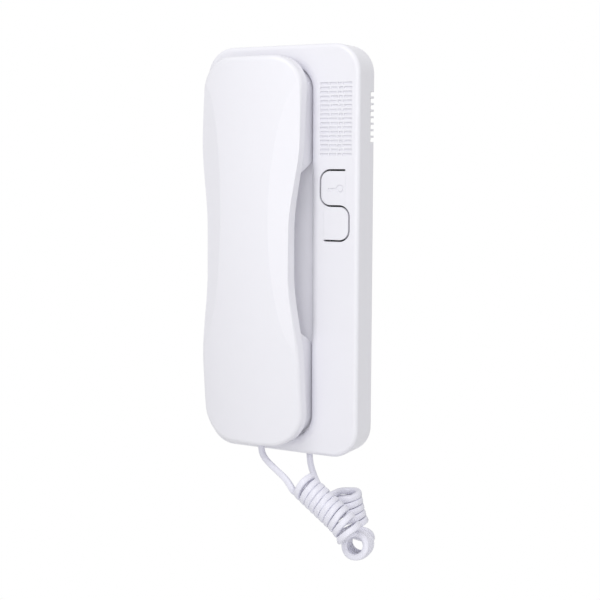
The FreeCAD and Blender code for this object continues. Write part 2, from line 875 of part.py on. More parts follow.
# Flap keys, their switches and stems
def pictogram_shape():
    """A small key drawn in shallow lines: a ring, a shaft and two teeth."""
    face = -n.base_depth
    outer = Part.makeCylinder(n.pictogram_ring / 2, n.pictogram_drop,
                              Vector(n.pictogram_x, face, n.pictogram_z), Vector(0, 1, 0))
    inner = Part.makeCylinder(n.pictogram_ring / 2 - n.pictogram_line, n.pictogram_drop,
                              Vector(n.pictogram_x, face, n.pictogram_z), Vector(0, 1, 0))
    half = n.pictogram_line / 2
    left = n.pictogram_x - n.pictogram_reach
    strokes = [Part.makeBox(n.pictogram_reach - n.pictogram_ring / 2 + half, n.pictogram_drop,
                            2 * half, Vector(left, face, n.pictogram_z - half))]
    for i in (0, 2):
        strokes.append(Part.makeBox(2 * half, n.pictogram_drop, 2 * n.pictogram_line,
                                    Vector(left + i * n.pictogram_line, face,
                                           n.pictogram_z - 2 * n.pictogram_line)))
    return outer.cut(inner).fuse(strokes)


def make_key(label, face, x, z, marks=None):
    flap = made(label + "_flap", flap_shape(face))
    boss = rod_out(label + "_boss", s.key_boss_radius, x, z, (stem_front + s.touch_gap, web_back))
    key = fused(label + "_solid", [flap, boss])
    if marks is not None:
        key = cut(label + "_marked", key, made(label + "_marks", marks))
    node(key, label)


def make_switch(label, x, z):
    half = s.switch_side / 2
    case = block(label + "_case", (x - half, x + half), (board_front, switch_front),
                 (z - half, z + half))
    bore = rod_out(label + "_bore", s.stem_radius + s.running_gap, x, z,
                   (switch_front - s.stem_bore_depth, switch_front + s.stem_rise))
    node(cut(label + "_cut", case, bore), label + "_switch_body")
    stem = rod_out(label + "_stem", s.stem_radius, x, z,
                   (switch_front - s.stem_seat, stem_front))
    node(stem, label + "_switch_stem")


upper_face, lower_face = window_faces()
make_key("unlock_key", upper_face, s.unlock_switch_x, s.unlock_switch_z, pictogram_shape())
make_key("call_key", lower_face, s.call_switch_x, s.call_switch_z)
make_switch("unlock", s.unlock_switch_x, s.unlock_switch_z)
make_switch("call", s.call_switch_x, s.call_switch_z)


# Ringer behind the grille
def make_ringer():
    back = web_back - s.ringer_depth
    cup = rod_out("ringer_cup", s.ringer_radius, s.ringer_x, s.ringer_z, (back, web_back))
    inside = rod_out("ringer_cup_inside", s.ringer_radius - s.ringer_wall, s.ringer_x, s.ringer_z,
                     (back + s.ringer_wall, web_back + s.ringer_wall))
    node(cut("ringer_cup_cut", cup, inside), "ringer_basket")
    magnet = rod_out("ringer_magnet", s.ringer_magnet_radius, s.ringer_x, s.ringer_z,
                     (back - s.ringer_magnet_depth, back))
    node(magnet, "ringer_magnet")
    cones = []
    for i, lift in enumerate((as_size(0), s.cone_wall)):
        cone = doc.addObject("Part::Cone", "ringer_cone_%d" % i)
        bind(cone, Radius1=s.cone_front_radius, Radius2=s.cone_back_radius, Height=s.cone_depth)
        place(cone, s.ringer_x, s.cone_wall - web_back - lift, s.ringer_z, TO_WALL)
        cones.append(cone)
    node(cut("ringer_cone_cut", *cones), "ringer_cone")


make_ringer()


# Terminal block
def make_terminals():
    length = s.terminal_count * s.terminal_pitch
    middle = (s.board_left + s.board_right) / 2
    left = middle - s.terminal_width / 2
    low = s.terminal_z - length / 2
    top = board_front + s.terminal_height
    case = block("terminal_case", (left, left + s.terminal_width), (board_front, top),
                 (low, low + length))
    wells = []
    screws = []
    clamps = []
    side = s.terminal_clamp_side
    floor = board_front + s.terminal_wire_height
    for i in range(int(n.terminal_count)):
        z = low + (i + 0.5) * s.terminal_pitch
        wells.append(rod_out("terminal_well_%d" % i, s.terminal_well_radius, middle, z,
                             (floor, top + s.terminal_well_radius)))
        wells.append(block("terminal_mouth_%d" % i, (left - side, middle + side / 2 + s.touch_gap),
                           (floor - side, floor + s.touch_gap),
                           (z - side / 2 - s.touch_gap, z + side / 2 + s.touch_gap)))
        screws.append(screw_in_well("terminal_screw_%d" % i, middle, z, floor))
        clamps.append(block("terminal_clamp_%d" % i, (middle - side / 2, middle + side / 2),
                            (floor - side, floor), (z - side / 2, z + side / 2)))
    node(cut("terminal_cut", case, fused("terminal_wells", wells)), "terminal_block")
    node(group("terminal_screw_group", screws), "terminal_screws")
    node(group("terminal_clamp_group", clamps), "terminal_clamps")


def screw_in_well(name, x, z, floor):
    """A grub screw that stands on its clamp."""
    blank = rod_out(name + "_blank", s.terminal_screw_radius, x, z,
                    (floor, floor + s.terminal_screw_length))
    slot = block(name + "_slot", (x - s.terminal_well_radius, x + s.terminal_well_radius),
                 (floor + 3 * s.terminal_screw_length / 4, floor + 2 * s.terminal_screw_length),
                 (z - s.screw_hole_gap * 2, z + s.screw_hole_gap * 2))
    return cut(name, blank, slot)


make_terminals()


# Hook lever, its pin, spring, switch and plunger
def make_hook():
    up = (hook_low, hook_high)
    bar = block("hook_bar", (s.hook_button_left, s.hook_riser_right),
                (s.hook_bar_low, s.hook_bar_high), up)
    button = block("hook_button", (s.hook_button_left, s.hook_button_right),
                   (s.hook_bar_low, trough_floor - s.hook_button_sink), up)
    riser = block("hook_riser", (s.hook_riser_left, s.hook_riser_right),
                  (s.hook_bar_low, s.hook_pad_high), up)
    pad_block = block("hook_pad", (s.hook_riser_left, s.hook_pad_right),
                      (s.hook_pad_low, s.hook_pad_high), up)
    hub = rod_up("hook_hub", s.hook_hub_radius, s.hook_pivot_x, s.hook_pivot_depth, up)
    bore = rod_up("hook_bore", s.hook_pin_radius + s.running_gap, s.hook_pivot_x,
                  s.hook_pivot_depth, (hook_low - s.hook_width, hook_high + s.hook_width))
    whole = fused("hook_whole", [bar, button, riser, pad_block, hub])
    node(cut("hook_lever_cut", whole, bore), "hook_lever")

    reach = s.touch_gap + s.hook_ear_thickness
    pin = rod_up("hook_pin", s.hook_pin_radius, s.hook_pivot_x, s.hook_pivot_depth,
                 (hook_low - reach, hook_high + reach))
    node(pin, "hook_pivot_pin")

    wire = n.hook_spring_wire
    low = n.plate_thickness + wire / 2
    high = n.hook_bar_low - wire / 2 - n.running_gap
    helix = Part.makeHelix((high - low) / n.hook_spring_turns, high - low, n.hook_spring_radius)
    start = Vector(n.hook_spring_radius, 0, 0)
    ring = Part.Wire(Part.makeCircle(wire / 2, start, Vector(0, 1, 0)))
    coil = helix.makePipeShell([ring], True, True)
    coil.Placement = Placement(Vector(n.hook_spring_x, -low, n.hook_z),
                               Rotation(Vector(1, 0, 0), 90))
    node(made("hook_coil", coil), "hook_spring")

    half = s.hook_switch_width / 2
    front = board_front + s.hook_switch_height
    case = block("hook_switch_case", (s.hook_switch_x - half, s.hook_switch_x + half),
                 (board_front, front), up)
    hole = rod_out("hook_switch_bore", s.plunger_radius + s.running_gap, s.hook_switch_x,
                   s.hook_z, (front - s.plunger_bore_depth, front + s.plunger_seat))
    node(cut("hook_switch_cut", case, hole), "hook_switch_body")
    plunger = rod_out("hook_plunger", s.plunger_radius, s.hook_switch_x, s.hook_z,
                      (front - s.plunger_seat, s.hook_pad_low - s.touch_gap))
    node(plunger, "hook_switch_plunger")


make_hook()


# Strain relief of the cord in the base
def bushing(label, radius, x, depth, face, sign, wall):
    """A plug in a wall square to Z, with a flange on the inner side."""
    inside = face + sign * (wall + s.bushing_flange_thickness)
    outside = face - sign * s.bushing_stand_out
    low, high = (outside, inside) if sign > 0 else (inside, outside)
    plug = rod_up(label + "_plug", radius, x, depth, (low, high))
    flange = rod_up(label + "_flange", radius + s.bushing_flange, x, depth,
                    (face + wall, face + wall + s.bushing_flange_thickness))
    node(fused(label + "_solid", [plug, flange]), label)


bushing("base_cord_bushing", s.bushing_radius, s.base_exit_x, s.base_exit_depth, bottom_face, 1,
        s.cover_wall)


# Handset
front_face = n.base_depth
arch_apex = front_face + n.handset_rise
arch_centre = n.handset_arch - arch_apex


def handset_outline(inset):
    """The handset's outline from the front, drawn in by an inset."""
    wu = n.upper_half_width - inset
    ww = n.waist_half_width - inset
    wl = n.lower_half_width - inset
    top = n.handset_top - inset
    bottom = inset - n.handset_bottom
    right = [(wu, top, n.upper_corner - inset), (wu, n.upper_lobe_end, n.waist_blend),
             (ww, n.waist_top, n.waist_blend), (ww, -n.waist_bottom, n.waist_blend),
             (wl, -n.lower_lobe_end, n.waist_blend), (wl, bottom, n.lower_corner - inset)]
    left = [(-x, z, r) for x, z, r in reversed(right)]
    points = [flat(n.trough_x + x, z) for x, z, r in right + left]
    return rounded_wire(points, [r for x, z, r in right + left], True)


def arch_band(front_drop, back_drop, crown=True):
    """A slab arched along Z and crowned across X, between two depths behind the apex."""
    half = 2 * n.upper_half_width
    front = front_drop - arch_apex
    back = back_drop - arch_apex
    sag = half * half / (2 * n.handset_crown) if crown else 0
    x = n.trough_x
    corners = [Vector(x - half, front + sag, 0), Vector(x + half, front + sag, 0)]
    if crown:
        brow = Part.Arc(corners[0], Vector(x, front, 0), corners[1]).toShape()
    else:
        brow = Part.LineSegment(corners[0], corners[1]).toShape()
    low_left = Vector(x - half, max(back, front + sag) + half, 0)
    low_right = Vector(x + half, max(back, front + sag) + half, 0)
    edges = [brow, Part.LineSegment(corners[1], low_right).toShape(),
             Part.LineSegment(low_right, low_left).toShape(),
             Part.LineSegment(low_left, corners[0]).toShape()]
    face = Part.Face(Part.Wire(edges))
    sweep = math.degrees(1.2 * n.handset_bottom / n.handset_arch)
    axis = Vector(0, arch_centre, 0)
    face.rotate(axis, Vector(1, 0, 0), -sweep)
    solid = face.revolve(axis, Vector(1, 0, 0), 2 * sweep)
    core = Part.makeCylinder(n.handset_arch - back_drop, 4 * half,
                             Vector(x - 2 * half, arch_centre, 0), Vector(1, 0, 0))
    return solid.cut(core)


def scoop_cutter(sign, inset):
    """The room in front of the long facet on one side of the handset, arched along Z."""
    slope = math.radians(n.scoop_slope)
    across = Vector(sign * math.cos(slope), math.sin(slope), 0)
    normal = Vector(sign * math.sin(slope), -math.cos(slope), 0)
    origin = Vector(n.trough_x, -front_face, n.scoop_z) + normal * (n.scoop_offset - inset)
    reach = 1.6 * n.handset_top
    far = 3 * n.handset_rise
    rise = reach * reach / (2 * n.scoop_arch)
    up = Vector(0, 0, 1)
    ends = [origin - up * reach - normal * rise, origin + up * reach - normal * rise]
    edges = [Part.Arc(ends[0], origin, ends[1]).toShape(),
             Part.LineSegment(ends[1], ends[1] + normal * far).toShape(),
             Part.LineSegment(ends[1] + normal * far, ends[0] + normal * far).toShape(),
             Part.LineSegment(ends[0] + normal * far, ends[0]).toShape()]
    face = Part.Face(Part.Wire(edges))
    face.translate(across * -far)
    return face.extrude(across * 2 * far)


def handset_form(inset, back_drop, edge_round):
    """The outer form of the front shell, or the same form drawn in by an inset."""
    block_span = (0, arch_apex + n.handset_wall)
    form = prism(handset_outline(inset), block_span)
    form = form.common(arch_band(inset, back_drop)).Solids[0]
    edges = [e for e in form.Edges if is_front_edge(form, e, back_drop)]
    form = form.makeFillet(edge_round, edges)
    return form.cut([scoop_cutter(1, inset), scoop_cutter(-1, inset)]).Solids[0]


def is_front_edge(form, edge, back_drop):
    """True for the edges where the crowned front meets the side wall."""
    middle = edge.valueAt((edge.FirstParameter + edge.LastParameter) / 2)
    ends = [v.Point for v in edge.Vertexes]
    if len(ends) == 2:
        rise = abs(ends[0].y - ends[1].y)
        same_depth = 2 * n.handset_wall
        if abs(rise - n.front_shell_depth) < same_depth and abs(ends[0].z - ends[1].z) < 1e-3:
            return False
    behind = n.handset_arch - math.hypot(middle.y - arch_centre, middle.z)
    return behind < 0.6 * back_drop


front_shell = handset_form(0, n.front_shell_depth, n.front_edge_round)
hollow = handset_form(n.handset_wall, n.front_shell_depth + 3 * n.handset_wall,
                      n.front_edge_round - n.handset_wall)
handset_screw_places = [(n.trough_x, n.handset_screw_z), (n.trough_x, -n.handset_screw_z)]


def arch_depth(z, drop):
    """Depth from the wall of the arch at a height, a drop behind its apex."""
    radius = n.handset_arch - drop
    return math.sqrt(radius * radius - z * z) - arch_centre


def rod(radius, x, z, low, high):
    """A plain cylinder along Y between two depths from the wall."""
    return Part.makeCylinder(radius, high - low, Vector(x, -high, z), Vector(0, 1, 0))


def make_handset_front():
    shell = front_shell.cut(hollow)
    for x, z in handset_screw_places:
        low = arch_depth(z, n.front_shell_depth - n.rear_plate_thickness - n.rear_plate_gap)
        high = arch_depth(z, n.handset_wall) + n.handset_wall / 2
        shell = shell.fuse(rod(n.handset_boss_radius, x, z, low, high))
        shell = shell.cut(rod(n.screw_shank_radius + n.screw_hole_gap, x, z,
                              low - n.handset_wall, high - n.handset_boss_cap))
    node(made("front_shell", shell.removeSplitter()), "handset_front")


make_handset_front()

cup_back = float(trough_floor) + n.touch_gap


def cup_outline(inset):
    """The cups' outline: the trough's own, drawn in by its gap and an inset."""
    gap = n.cup_gap + inset
    half = n.trough_width / 2 - gap
    top = n.trough_z + n.trough_length / 2 - gap
    bottom = n.trough_z - n.trough_length / 2 + gap
    x = n.trough_x
    points = [flat(x + half, top), flat(x + half, bottom), flat(x - half, bottom),
              flat(x - half, top)]
    return rounded_wire(points, [n.trough_corner - gap] * 4, True)


def cup_block(sign, inset):
    """One cup from its flat foot to the arch, with a ramp towards the waist."""
    far = n.handset_bottom + n.handset_wall
    foot = n.cup_foot + 1.25 * inset
    ramp = n.cup_ramp + 1.25 * inset
    low = cup_back + inset
    high = front_face + n.cup_ramp_rise
    half = 2 * n.upper_half_width
    profile = [(far, low), (foot, low), (ramp, high), (far, high)]
    points = [Vector(n.trough_x - half, -depth, sign * z) for z, depth in profile]
    wedge = Part.Face(Part.makePolygon(points + points[:1])).extrude(Vector(2 * half, 0, 0))
    outline = prism(cup_outline(inset), (low, high))
    waist = prism(handset_outline(n.handset_wall + n.rear_plate_gap + inset), (low, high))
    return wedge.common([outline]).common([waist])


def make_handset_rear():
    inset = n.handset_wall + n.rear_plate_gap
    slab = prism(handset_outline(inset), (0, arch_apex))
    plate = slab.common(arch_band(n.front_shell_depth - n.rear_plate_thickness,
                                  n.front_shell_depth, crown=False))
    below = arch_band(n.front_shell_depth - n.rear_plate_thickness,
                      2 * n.handset_arch / 3, crown=False)
    shell = plate
    for sign in (1, -1):
        shell = shell.fuse(cup_block(sign, 0).common(below))
    for sign in (1, -1):
        shell = shell.cut(cup_block(sign, n.cup_wall))
    shell = shell.cut(rear_openings())
    node(made("rear_shell", shell.removeSplitter()), "handset_rear")


def rear_openings():
    """Ear holes, mouth hole, peg holes, screw holes and the cord hole."""
    span = (cup_back - n.cup_wall, cup_back + 2 * n.cup_wall)
    x = n.trough_x
    holes = [rod(n.ear_hole_radius, x, n.receiver_z, *span)]
    for i in range(int(n.ear_hole_count)):
        angle = 2 * math.pi * i / n.ear_hole_count
        holes.append(rod(n.ear_hole_radius, x + n.ear_hole_ring * math.cos(angle),
                         n.receiver_z + n.ear_hole_ring * math.sin(angle), *span))
    holes.append(rod(n.microphone_hole_radius, x, n.microphone_z, *span))
    for z in (n.peg_reach, -n.peg_reach):
        holes.append(rod(n.peg_radius + n.peg_gap, x, z, *span))
    for x_screw, z in handset_screw_places:
        depth = arch_depth(z, n.front_shell_depth)
        holes.append(rod(n.screw_shank_radius + n.screw_hole_gap, x_screw, z,
                         depth - n.handset_wall, depth + 2 * n.handset_wall))
    wall = cup_bottom - n.cup_wall
    holes.append(Part.makeCylinder(n.handset_bushing_radius + n.bushing_gap, 4 * n.cup_wall,
                                   Vector(x, -handset_exit_depth, wall), Vector(0, 0, 1)))
    return holes


cup_bottom = n.trough_z - n.trough_length / 2 + n.cup_gap
handset_exit_depth = front_face + n.handset_exit_rise
make_handset_rear()


def make_handset_screws():
    screws = []
    for x, z in handset_screw_places:
        seat = arch_depth(z, n.front_shell_depth) - n.screw_hole_gap
        head = rod(n.screw_head_radius, x, z, seat - n.screw_head_height, seat)
        shank = rod(n.screw_shank_radius, x, z, seat, seat + n.handset_screw_length)
        slot = Part.makeBox(2 * n.screw_head_radius, n.screw_head_height / 2,
                            4 * n.screw_hole_gap,
                            Vector(x - n.screw_head_radius, n.screw_head_height / 2 - seat,
                                   z - 2 * n.screw_hole_gap))
        screws.append(head.fuse(shank).cut(slot).removeSplitter())
    node(made("handset_screw_pair", Part.makeCompound(screws)), "handset_screws")


make_handset_screws()


# Receiver and microphone in the cups
cup_floor = s.base_depth - s.trough_drop + s.touch_gap + s.cup_wall


def make_receiver():
    x = s.trough_x
    z = s.receiver_z
    ring = cut("gasket_cut", rod_out("gasket_disc", s.receiver_radius, x, z,
                                     (cup_floor, cup_floor + s.gasket_thickness)),
               rod_out("gasket_hole", s.receiver_radius - s.gasket_width, x, z,
                       (cup_floor - s.cup_wall, cup_floor + 2 * s.gasket_thickness)))
    node(ring, "receiver_gasket")
    low = cup_floor + s.gasket_thickness
    disc = rod_out("diaphragm", s.receiver_radius, x, z, (low, low + s.diaphragm_thickness))
    node(disc, "receiver_diaphragm")
    seat = low + s.diaphragm_thickness
    top = seat + s.receiver_depth
    cup = cut("receiver_cut", rod_out("receiver_cup", s.receiver_radius, x, z, (seat, top)),
              rod_out("receiver_inside", s.receiver_radius - s.receiver_wall, x, z,
                      (seat - s.receiver_wall, top - s.receiver_wall)))
    node(cup, "receiver_basket")
    magnet = rod_out("receiver_core", s.receiver_magnet_radius, x, z,
                     (top - s.receiver_wall - s.receiver_magnet_depth, top - s.receiver_wall))
    node(magnet, "receiver_magnet")


make_receiver()


def make_microphone():
    x = s.trough_x
    z = s.microphone_z
    low = cup_floor + s.boot_wall
    capsule = rod_out("microphone_capsule", s.microphone_radius, x, z,
                      (low, low + s.microphone_depth))
    node(capsule, "microphone")
    outer = rod_out("boot_outer", s.microphone_radius + s.boot_wall, x, z,
                    (cup_floor, low + s.microphone_depth))
    inner = rod_out("boot_inner", s.microphone_radius, x, z, (low, low + 2 * s.microphone_depth))
    hole = rod_out("boot_hole", s.microphone_hole_radius, x, z,
                   (cup_floor - s.cup_wall, low + s.boot_wall))
    node(cut("boot_cut", outer, fused("boot_bores", [inner, hole])), "microphone_boot")


make_microphone()

lower_cup_end = s.trough_z - s.trough_length / 2 + s.cup_gap
bushing("handset_cord_bushing", s.handset_bushing_radius, s.trough_x,
        s.base_depth + s.handset_exit_rise, lower_cup_end, 1, s.cup_wall)


# Curly cord: a lead from each bushing and a coil that folds back on itself
wire_radius = n.cord_diameter / 2
handset_exit_z = float(lower_cup_end) - n.bushing_stand_out
base_exit_z = -n.base_height / 2 - n.bushing_stand_out
COIL_AXIS = [Vector(14.5, -31.5, -112.2), Vector(25.9, -32, -118.9), Vector(34.6, -31.8, -126.4),
             Vector(49, -30.5, -149.5), Vector(46.2, -10.2, -150), Vector(39, -11, -131.5),
             Vector(36.2, -12, -119.5)]
COIL_START_SIDE = Vector(-0.1, -0.98, -0.15)
COIL_END_SIDE = Vector(0, 1, 0)
COIL_TURNS_SIGN = 1


def corner_radii(points):
    """The radius that each corner of a cord's route allows."""
    radii = [0.0]
    for before, here, after in zip(points, points[1:], points[2:]):
        turn = (here - before).getAngle(after - here)
        shorter = min((here - before).Length, (after - here).Length)
        radii.append(0.45 * shorter / math.tan(turn / 2))
    return radii + [0.0]


def tube(points):
    """A round cord along a hand-chosen route, and a printed check of its volume."""
    radii = corner_radii(points)
    path = rounded_wire(points, radii)
    start = (points[1] - points[0]).normalize()
    ring = Part.Wire(Part.makeCircle(wire_radius, points[0], start))
    solid = path.makePipeShell([ring], True, False)
    expected = math.pi * wire_radius ** 2 * path.Length
    print("radii", [round(r, 1) for r in radii[1:-1]], "length", round(path.Length, 1),
          "volume ratio", round(solid.Volume / expected, 4))
    return solid


class CoilAxis:
    """The coil's middle line: straight runs and arcs, with a frame that never twists."""

    def __init__(self, points):
        wire = rounded_wire(points, corner_radii(points))
        self.edges = wire.OrderedEdges
        self.starts = [0.0]
        for edge in self.edges:
            self.starts.append(self.starts[-1] + edge.Length)
        self.length = self.starts[-1]
        self.samples = []
        side = None
        count = 600
        for i in range(count + 1):
            point, direction = self.point(self.length * i / count)
            if side is None:
                side = COIL_START_SIDE
            side = side - direction * side.dot(direction)
            side.normalize()
            self.samples.append(side)

    def point(self, u):
        index = 0
        while index < len(self.edges) - 1 and u > self.starts[index + 1]:
            index += 1
        edge = self.edges[index]
        along = min(max(u - self.starts[index], 0), edge.Length)
        parameter = edge.getParameterByLength(along)
        return edge.valueAt(parameter), edge.tangentAt(parameter)

    def frame(self, u):
        point, direction = self.point(u)
        place = min(max(u / self.length, 0), 1) * (len(self.samples) - 1)
        low = min(int(place), len(self.samples) - 2)
        side = self.samples[low] * (low + 1 - place) + self.samples[low + 1] * (place - low)
        side = side - direction * side.dot(direction)
        side.normalize()
        return point, direction, side, direction.cross(side)


def coil_route(axis):
    """Positions along the coil's axis and round it, from its straight start to its end."""
    bend = n.coil_lead_bend

    def pitch(u):
        step = n.coil_pitch
        for i in range(12):
            turn = axis.point(u - step / 2)[1].getAngle(axis.point(u + step / 2)[1])
            step = n.coil_pitch + n.coil_fold_play * n.coil_radius * turn
        return step

    slope = math.atan(pitch(0) / (2 * math.pi * n.coil_radius))
    route = [(0.0, 0.0), (n.cord_diameter, 0.0)]
    last = math.pi / 2 - slope
    steps = 3
    for i in range(1, steps + 1):
        beta = last * i / steps
        route.append((n.cord_diameter + bend * math.sin(beta),
                      bend * (1 - math.cos(beta)) / n.coil_radius))
    u, angle = route[-1]
    stop = axis.length - n.cord_diameter
    quarter = math.pi / 2
    helix = [(u, angle)]
    while u < stop:
        u += pitch(u + pitch(u) / 8) / 4
        angle += quarter
        helix.append((u, angle))
    return route[:-1], helix


def make_coil():
    axis = CoilAxis(COIL_AXIS)
    lead_in, helix = coil_route(axis)
    point, direction, side, other = axis.frame(helix[-1][0])
    final = math.atan2(COIL_END_SIDE.dot(other), COIL_END_SIDE.dot(side)) * COIL_TURNS_SIGN
    spare = (final - helix[-1][1]) % (2 * math.pi) - 2 * math.pi
    stretch = (helix[-1][1] + spare - helix[0][1]) / (helix[-1][1] - helix[0][1])
    helix = [(u, helix[0][1] + (a - helix[0][1]) * stretch) for u, a in helix]
    route = lead_in + helix

    def on_coil(u, a):
        p, t, e1, e2 = axis.frame(u)
        a = a * COIL_TURNS_SIGN
        return p + (e1 * math.cos(a) + e2 * math.sin(a)) * n.coil_radius

    def between(k, f):
        (u0, a0), (u1, a1) = route[k], route[k + 1]
        return on_coil(u0 + (u1 - u0) * f, a0 + (a1 - a0) * f)

    points = [on_coil(u, a) for u, a in route]
    tangents = [axis.point(0)[1], axis.point(n.cord_diameter)[1]]
    bend = n.coil_lead_bend
    last = len(route) - 1
    for k in range(2, last + 1):
        if k < len(lead_in):
            beta = math.asin(min(1, (route[k][0] - n.cord_diameter) / bend))
            p, t, e1, e2 = axis.frame(route[k][0])
            a = route[k][1] * COIL_TURNS_SIGN
            round_it = (e2 * math.cos(a) - e1 * math.sin(a)) * COIL_TURNS_SIGN
            tangents.append((t * math.cos(beta) + round_it * math.sin(beta)).normalize())
        else:
            step = 0.02
            before = between(k - 1, 1 - step) if k > len(lead_in) else points[k]
            after = between(k, step) if k < last else points[k]
            tangents.append((after - before).normalize())
    edges = [Part.LineSegment(points[0], points[1]).toShape()]
    for k in range(1, last):
        edges += biarc(points[k], tangents[k], points[k + 1], tangents[k + 1])
    end = points[last] + tangents[last] * n.cord_diameter
    edges.append(Part.LineSegment(points[last], end).toShape())
    path = Part.Wire(edges)
    ring = Part.Wire(Part.makeCircle(wire_radius, points[0], tangents[0]))
    solid = path.makePipeShell([ring], True, False)
    turns = (route[-1][1] - route[len(lead_in)][1]) / (2 * math.pi)
    print("coil turns", round(turns, 2), "wire", round(path.Length, 1), "gap",
          round(least_gap(path), 3), "volume ratio",
          round(solid.Volume / (math.pi * wire_radius ** 2 * path.Length), 4),
          "least radius", round(min(e.Curve.Radius for e in edges if hasattr(e.Curve, "Radius")), 2))
    node(made("coil", solid), "cord_coil")
    return points[0], tangents[0], end, tangents[last]


def biarc(p0, t0, p1, t1):
    """Two arcs that join two points along two directions."""
    v = p1 - p0
    t = t0 + t1
    spread = 2 * (1 - t0.dot(t1))
    along = v.dot(t)
    if spread < 1e-9:
        d = v.Length / 2
    else:
        d = (math.sqrt(along * along + spread * v.dot(v)) - along) / spread
    joint = (p0 + p1 + (t0 - t1) * d) * 0.5
    return [arc_from(p0, t0, joint), arc_from(joint, (p1 - t1 * d - joint), p1)]


def arc_from(start, direction, end):
    """An arc that leaves a point in a direction and ends at another point."""
    chord = end - start
    direction = Vector(direction).normalize()
    normal = direction.cross(chord)
    if normal.Length < 1e-7 * chord.Length:
        return Part.LineSegment(start, end).toShape()
    to_centre = normal.cross(direction).normalize()
    radius = chord.dot(chord) / (2 * chord.dot(to_centre))
    centre = start + to_centre * radius
    middle = (start + end) * 0.5 - centre
    return Part.Arc(start, centre + middle.normalize() * radius, end).toShape()


def least_gap(path):
    """The least gap between the tube and itself, away from its own neighbourhood."""
    step = 0.6
    points = path.discretize(Distance=step)
    skip = int(math.pi * n.coil_radius / step)
    least = 1e9
    for i in range(len(points)):
        for j in range(i + skip, min(len(points), i + 10 * skip)):
            least = min(least, (points[i] - points[j]).Length)
    return least - n.cord_diameter


coil_start, coil_start_way, coil_end, coil_end_way = make_coil()


def make_leads():
    exit_one = Vector(n.trough_x, -handset_exit_depth, handset_exit_z)
    route = [exit_one, exit_one - Vector(0, 0, n.lead_handset_run), Vector(-7.3, -23.2, -103.9),
             Vector(-4.1, -24.7, -106.6), Vector(0.2, -27.1, -107.7), Vector(5.2, -33.9, -108.5),
             coil_start - coil_start_way * n.lead_coil_run, coil_start]
    node(made("handset_lead", tube(route)), "cord_handset_lead")
    exit_two = Vector(n.base_exit_x, -n.base_exit_depth, base_exit_z)
    route = [coil_end, coil_end + coil_end_way * n.lead_coil_run, Vector(23.2, -7.2, -121.6),
             Vector(18.2, -8.4, -118.6), Vector(13.4, -9.6, -113.5),
             exit_two - Vector(0, 0, n.lead_base_run), exit_two]
    node(made("base_lead", tube(route)), "cord_base_lead")


make_leads()

# Check and write
doc.recompute()
for obj in doc.Objects:
    assert not {"Invalid", "Error"} & set(obj.State), obj.Name + " failed"
for obj in nodes:
    assert not obj.Shape.isNull() and obj.Shape.isValid(), obj.Label + " has no valid shape"
for obj in nodes:
    obj.Shape.exportStep("parts/%s.step" % obj.Label)
    print(obj.Label, len(obj.Shape.Solids), round(obj.Shape.Volume, 1))
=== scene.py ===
# Looks of the wall telephone: finishes, curly cord, board components, light and camera.
import json
import math

import bmesh
import bpy
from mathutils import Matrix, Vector, kdtree


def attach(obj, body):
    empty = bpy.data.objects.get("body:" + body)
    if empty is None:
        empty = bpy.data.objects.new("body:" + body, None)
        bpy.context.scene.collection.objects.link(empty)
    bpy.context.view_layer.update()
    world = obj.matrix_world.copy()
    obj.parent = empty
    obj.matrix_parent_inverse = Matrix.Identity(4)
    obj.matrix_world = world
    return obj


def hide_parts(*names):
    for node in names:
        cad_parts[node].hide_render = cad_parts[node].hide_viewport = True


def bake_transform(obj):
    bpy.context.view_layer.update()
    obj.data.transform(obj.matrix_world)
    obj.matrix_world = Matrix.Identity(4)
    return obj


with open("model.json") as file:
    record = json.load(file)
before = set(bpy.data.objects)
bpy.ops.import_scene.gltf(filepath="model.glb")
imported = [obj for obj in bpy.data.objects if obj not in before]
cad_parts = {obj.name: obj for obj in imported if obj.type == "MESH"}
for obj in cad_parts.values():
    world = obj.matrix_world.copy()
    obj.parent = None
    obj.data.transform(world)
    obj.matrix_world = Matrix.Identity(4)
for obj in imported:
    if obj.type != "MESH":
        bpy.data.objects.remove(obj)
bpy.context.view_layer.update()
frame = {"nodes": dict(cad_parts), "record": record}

MM = 0.001
scene = bpy.context.scene


# Node helpers
def new_group(name, inputs, outputs):
    """An empty shader node group with named sockets."""
    group = bpy.data.node_groups.new(name, "ShaderNodeTree")
    for label, kind, default in inputs:
        socket = group.interface.new_socket(label, in_out="INPUT", socket_type=kind)
        socket.default_value = default
    for label, kind in outputs:
        group.interface.new_socket(label, in_out="OUTPUT", socket_type=kind)
    return group, group.nodes.new("NodeGroupInput"), group.nodes.new("NodeGroupOutput")


def set_inputs(node, values):
    """Values of a node's input sockets."""
    for key, item in values.items():
        node.inputs[key].default_value = item


def add(tree, kind, values=None, **settings):
    """A node with its settings and the values of its input sockets."""
    made = tree.nodes.new(kind)
    for key, item in settings.items():
        setattr(made, key, item)
    set_inputs(made, values or {})
    return made


def maths(tree, operation, *terms):
    """A math node whose terms are numbers or sockets."""
    made = tree.nodes.new("ShaderNodeMath")
    made.operation = operation
    for socket, term in zip(made.inputs, terms):
        if isinstance(term, (int, float)):
            socket.default_value = term
        else:
            tree.links.new(term, socket)
    return made.outputs[0]


def noise(tree, vector, scale, detail):
    """Noise between 0 and 1 at a scale per metre."""
    made = add(tree, "ShaderNodeTexNoise", {"Scale": scale, "Detail": detail})
    tree.links.new(vector, made.inputs["Vector"])
    return made


